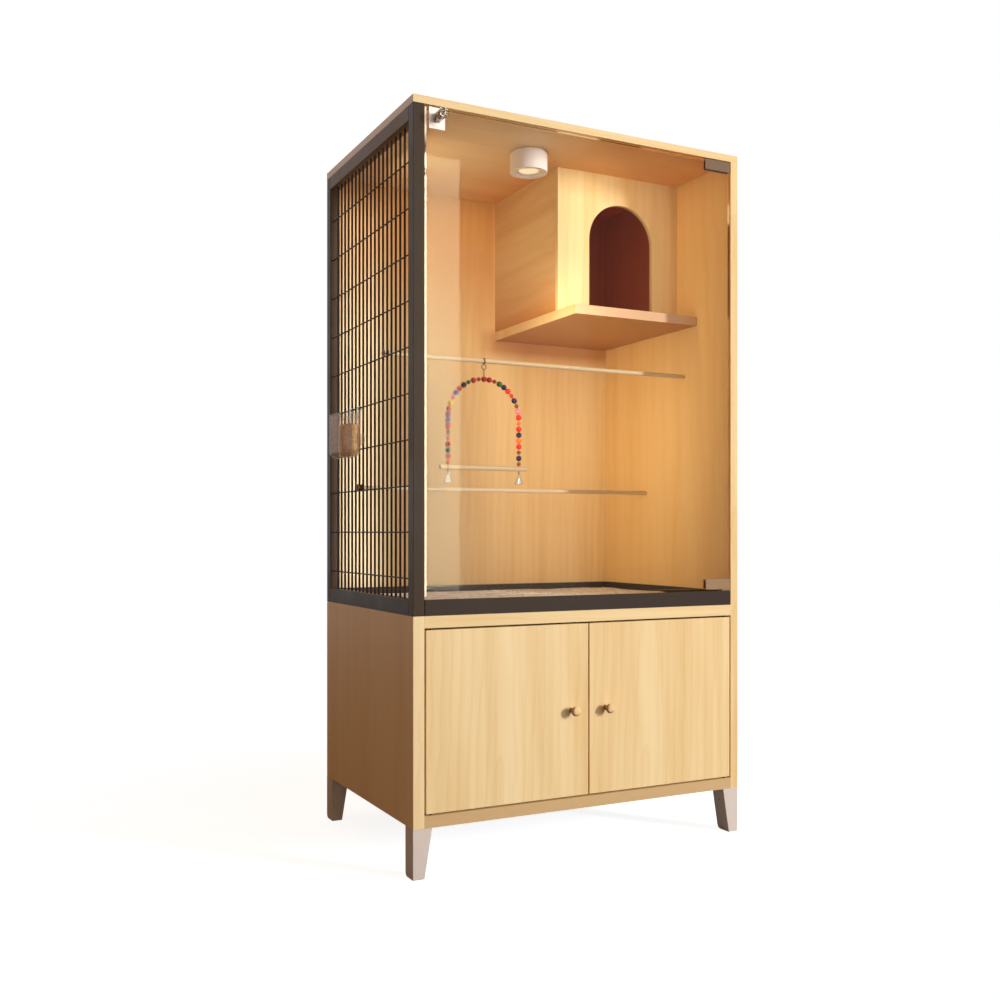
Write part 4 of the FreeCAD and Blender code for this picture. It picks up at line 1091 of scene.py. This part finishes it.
def make_outer_lights():
    """A far window to the right and a soft light in front."""
    turn = turned_to(WINDOW_PLACE, WINDOW_TARGET)
    window = add_panel_light("window", WINDOW_POWER, WINDOW_COLOUR, WINDOW_PLACE, WINDOW_SIZE, turn)
    keep_off(window, "back_panel")
    add_panel_light("fill", FILL_POWER, FILL_COLOUR, FILL_PLACE, FILL_SIZE, FACING_BACK, mirrored=True)


def make_inner_lights():
    """Soft warm light in the cage, a glow on the nest's front and a cool wash on the back."""
    inside = add_panel_light(
        "inside", INSIDE_POWER, INSIDE_COLOUR, INSIDE_PLACE, INSIDE_SIZE, INSIDE_TURN
    )
    inside.data.spread = INSIDE_SPREAD
    side = add_panel_light("side", SIDE_POWER, INSIDE_COLOUR, SIDE_PLACE, SIDE_SIZE, SIDE_TURN)
    for light in (inside, side):
        keep_off(light, "upper_perch", "lower_perch", "swing_bar")
    glow = add_panel_light("glow", GLOW_POWER, GLOW_COLOUR, GLOW_PLACE, GLOW_SIZE, FACING_BACK)
    keep_to(glow, "nest_front_panel")
    wash = add_panel_light("wash", WASH_POWER, WASH_COLOUR, WASH_PLACE, WASH_SIZE, FACING_BACK)
    wash.data.spread = WASH_SPREAD


def make_lamp_light():
    """The lamp's own light, just under its lens."""
    place = middle_of("lamp_lens")
    place.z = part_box("lamp_lens")[0].z - LAMP_DROP
    lamp = add_light("lamp_light", "POINT", LAMP_POWER, LAMP_COLOUR, place)
    lamp.data.shadow_soft_size = LAMP_RADIUS
    lamp.visible_glossy = False
    keep_off(
        lamp, "lamp_base", "lamp_housing", "lamp_lens", "nest_side_panel", "nest_front_panel",
        "nest_floor_board",
    )


def make_highlights():
    """A small bright light and a tall pale card that only gloss and glass show."""
    turn = turned_to(SPARK_PLACE, middle_of("glass_panel"))
    spark = add_panel_light(
        "spark", SPARK_POWER, SPARK_COLOUR, SPARK_PLACE, SPARK_SIZE, turn, mirrored=True
    )
    card = add_panel_light(
        "card", CARD_POWER, CARD_COLOUR, CARD_PLACE, CARD_SIZE, FACING_BACK, mirrored=True
    )
    for light in (spark, card):
        light.visible_diffuse = False


def floor_material():
    """Pale and lit near the cage, white far off, and dim for the light that it throws back."""
    paint = Paint("floor")
    path = paint.add("LightPath").outputs
    middle = {0: paint.coordinates["Object"]}
    away = paint.add("VectorMath", middle, operation="LENGTH").outputs["Value"]
    far = paint.span(away, *FLOOR_FADE, 0.0, 1.0)
    speckle = paint.noise(paint.coordinates["Object"], 60, 3, 0.6)
    pale = paint.ramp(speckle, ((0.3, "#C8DDEE"), (0.7, "#D0E4F4")))
    lit = paint.add("BsdfDiffuse", {"Color": pale}).outputs[0]
    lift = paint.add("Emission", {"Color": WHITE, "Strength": FLOOR_LIFT}).outputs[0]
    near = paint.add("AddShader", {0: lit, 1: lift}).outputs[0]
    white = paint.add("Emission", {"Color": WHITE, "Strength": 1.0}).outputs[0]
    seen = paint.add("MixShader", {0: far, 1: near, 2: white}).outputs[0]
    dim = paint.add("BsdfDiffuse", {"Color": FLOOR_BOUNCE}).outputs[0]
    shader = paint.add("MixShader", {0: path["Is Camera Ray"], 1: dim, 2: seen}).outputs[0]
    return paint.surface(shader)


def make_floor():
    """A pale floor that takes the shadow and fades to white away from the cage."""
    mesh = bmesh.new()
    bmesh.ops.create_grid(mesh, x_segments=1, y_segments=1, size=FLOOR_SIZE)
    data = bpy.data.meshes.new("floor")
    mesh.to_mesh(data)
    mesh.free()
    data.materials.append(floor_material())
    floor = bpy.data.objects.new("floor", data)
    bpy.context.scene.collection.objects.link(floor)


dress_wood()
dress_painted()
dress_glass_door()
dress_fittings()
make_knobs()
make_beads()
make_litter()
make_seeds()
make_screws()
make_camera()
make_room()
make_outer_lights()
make_inner_lights()
make_lamp_light()
make_highlights()
make_floor()
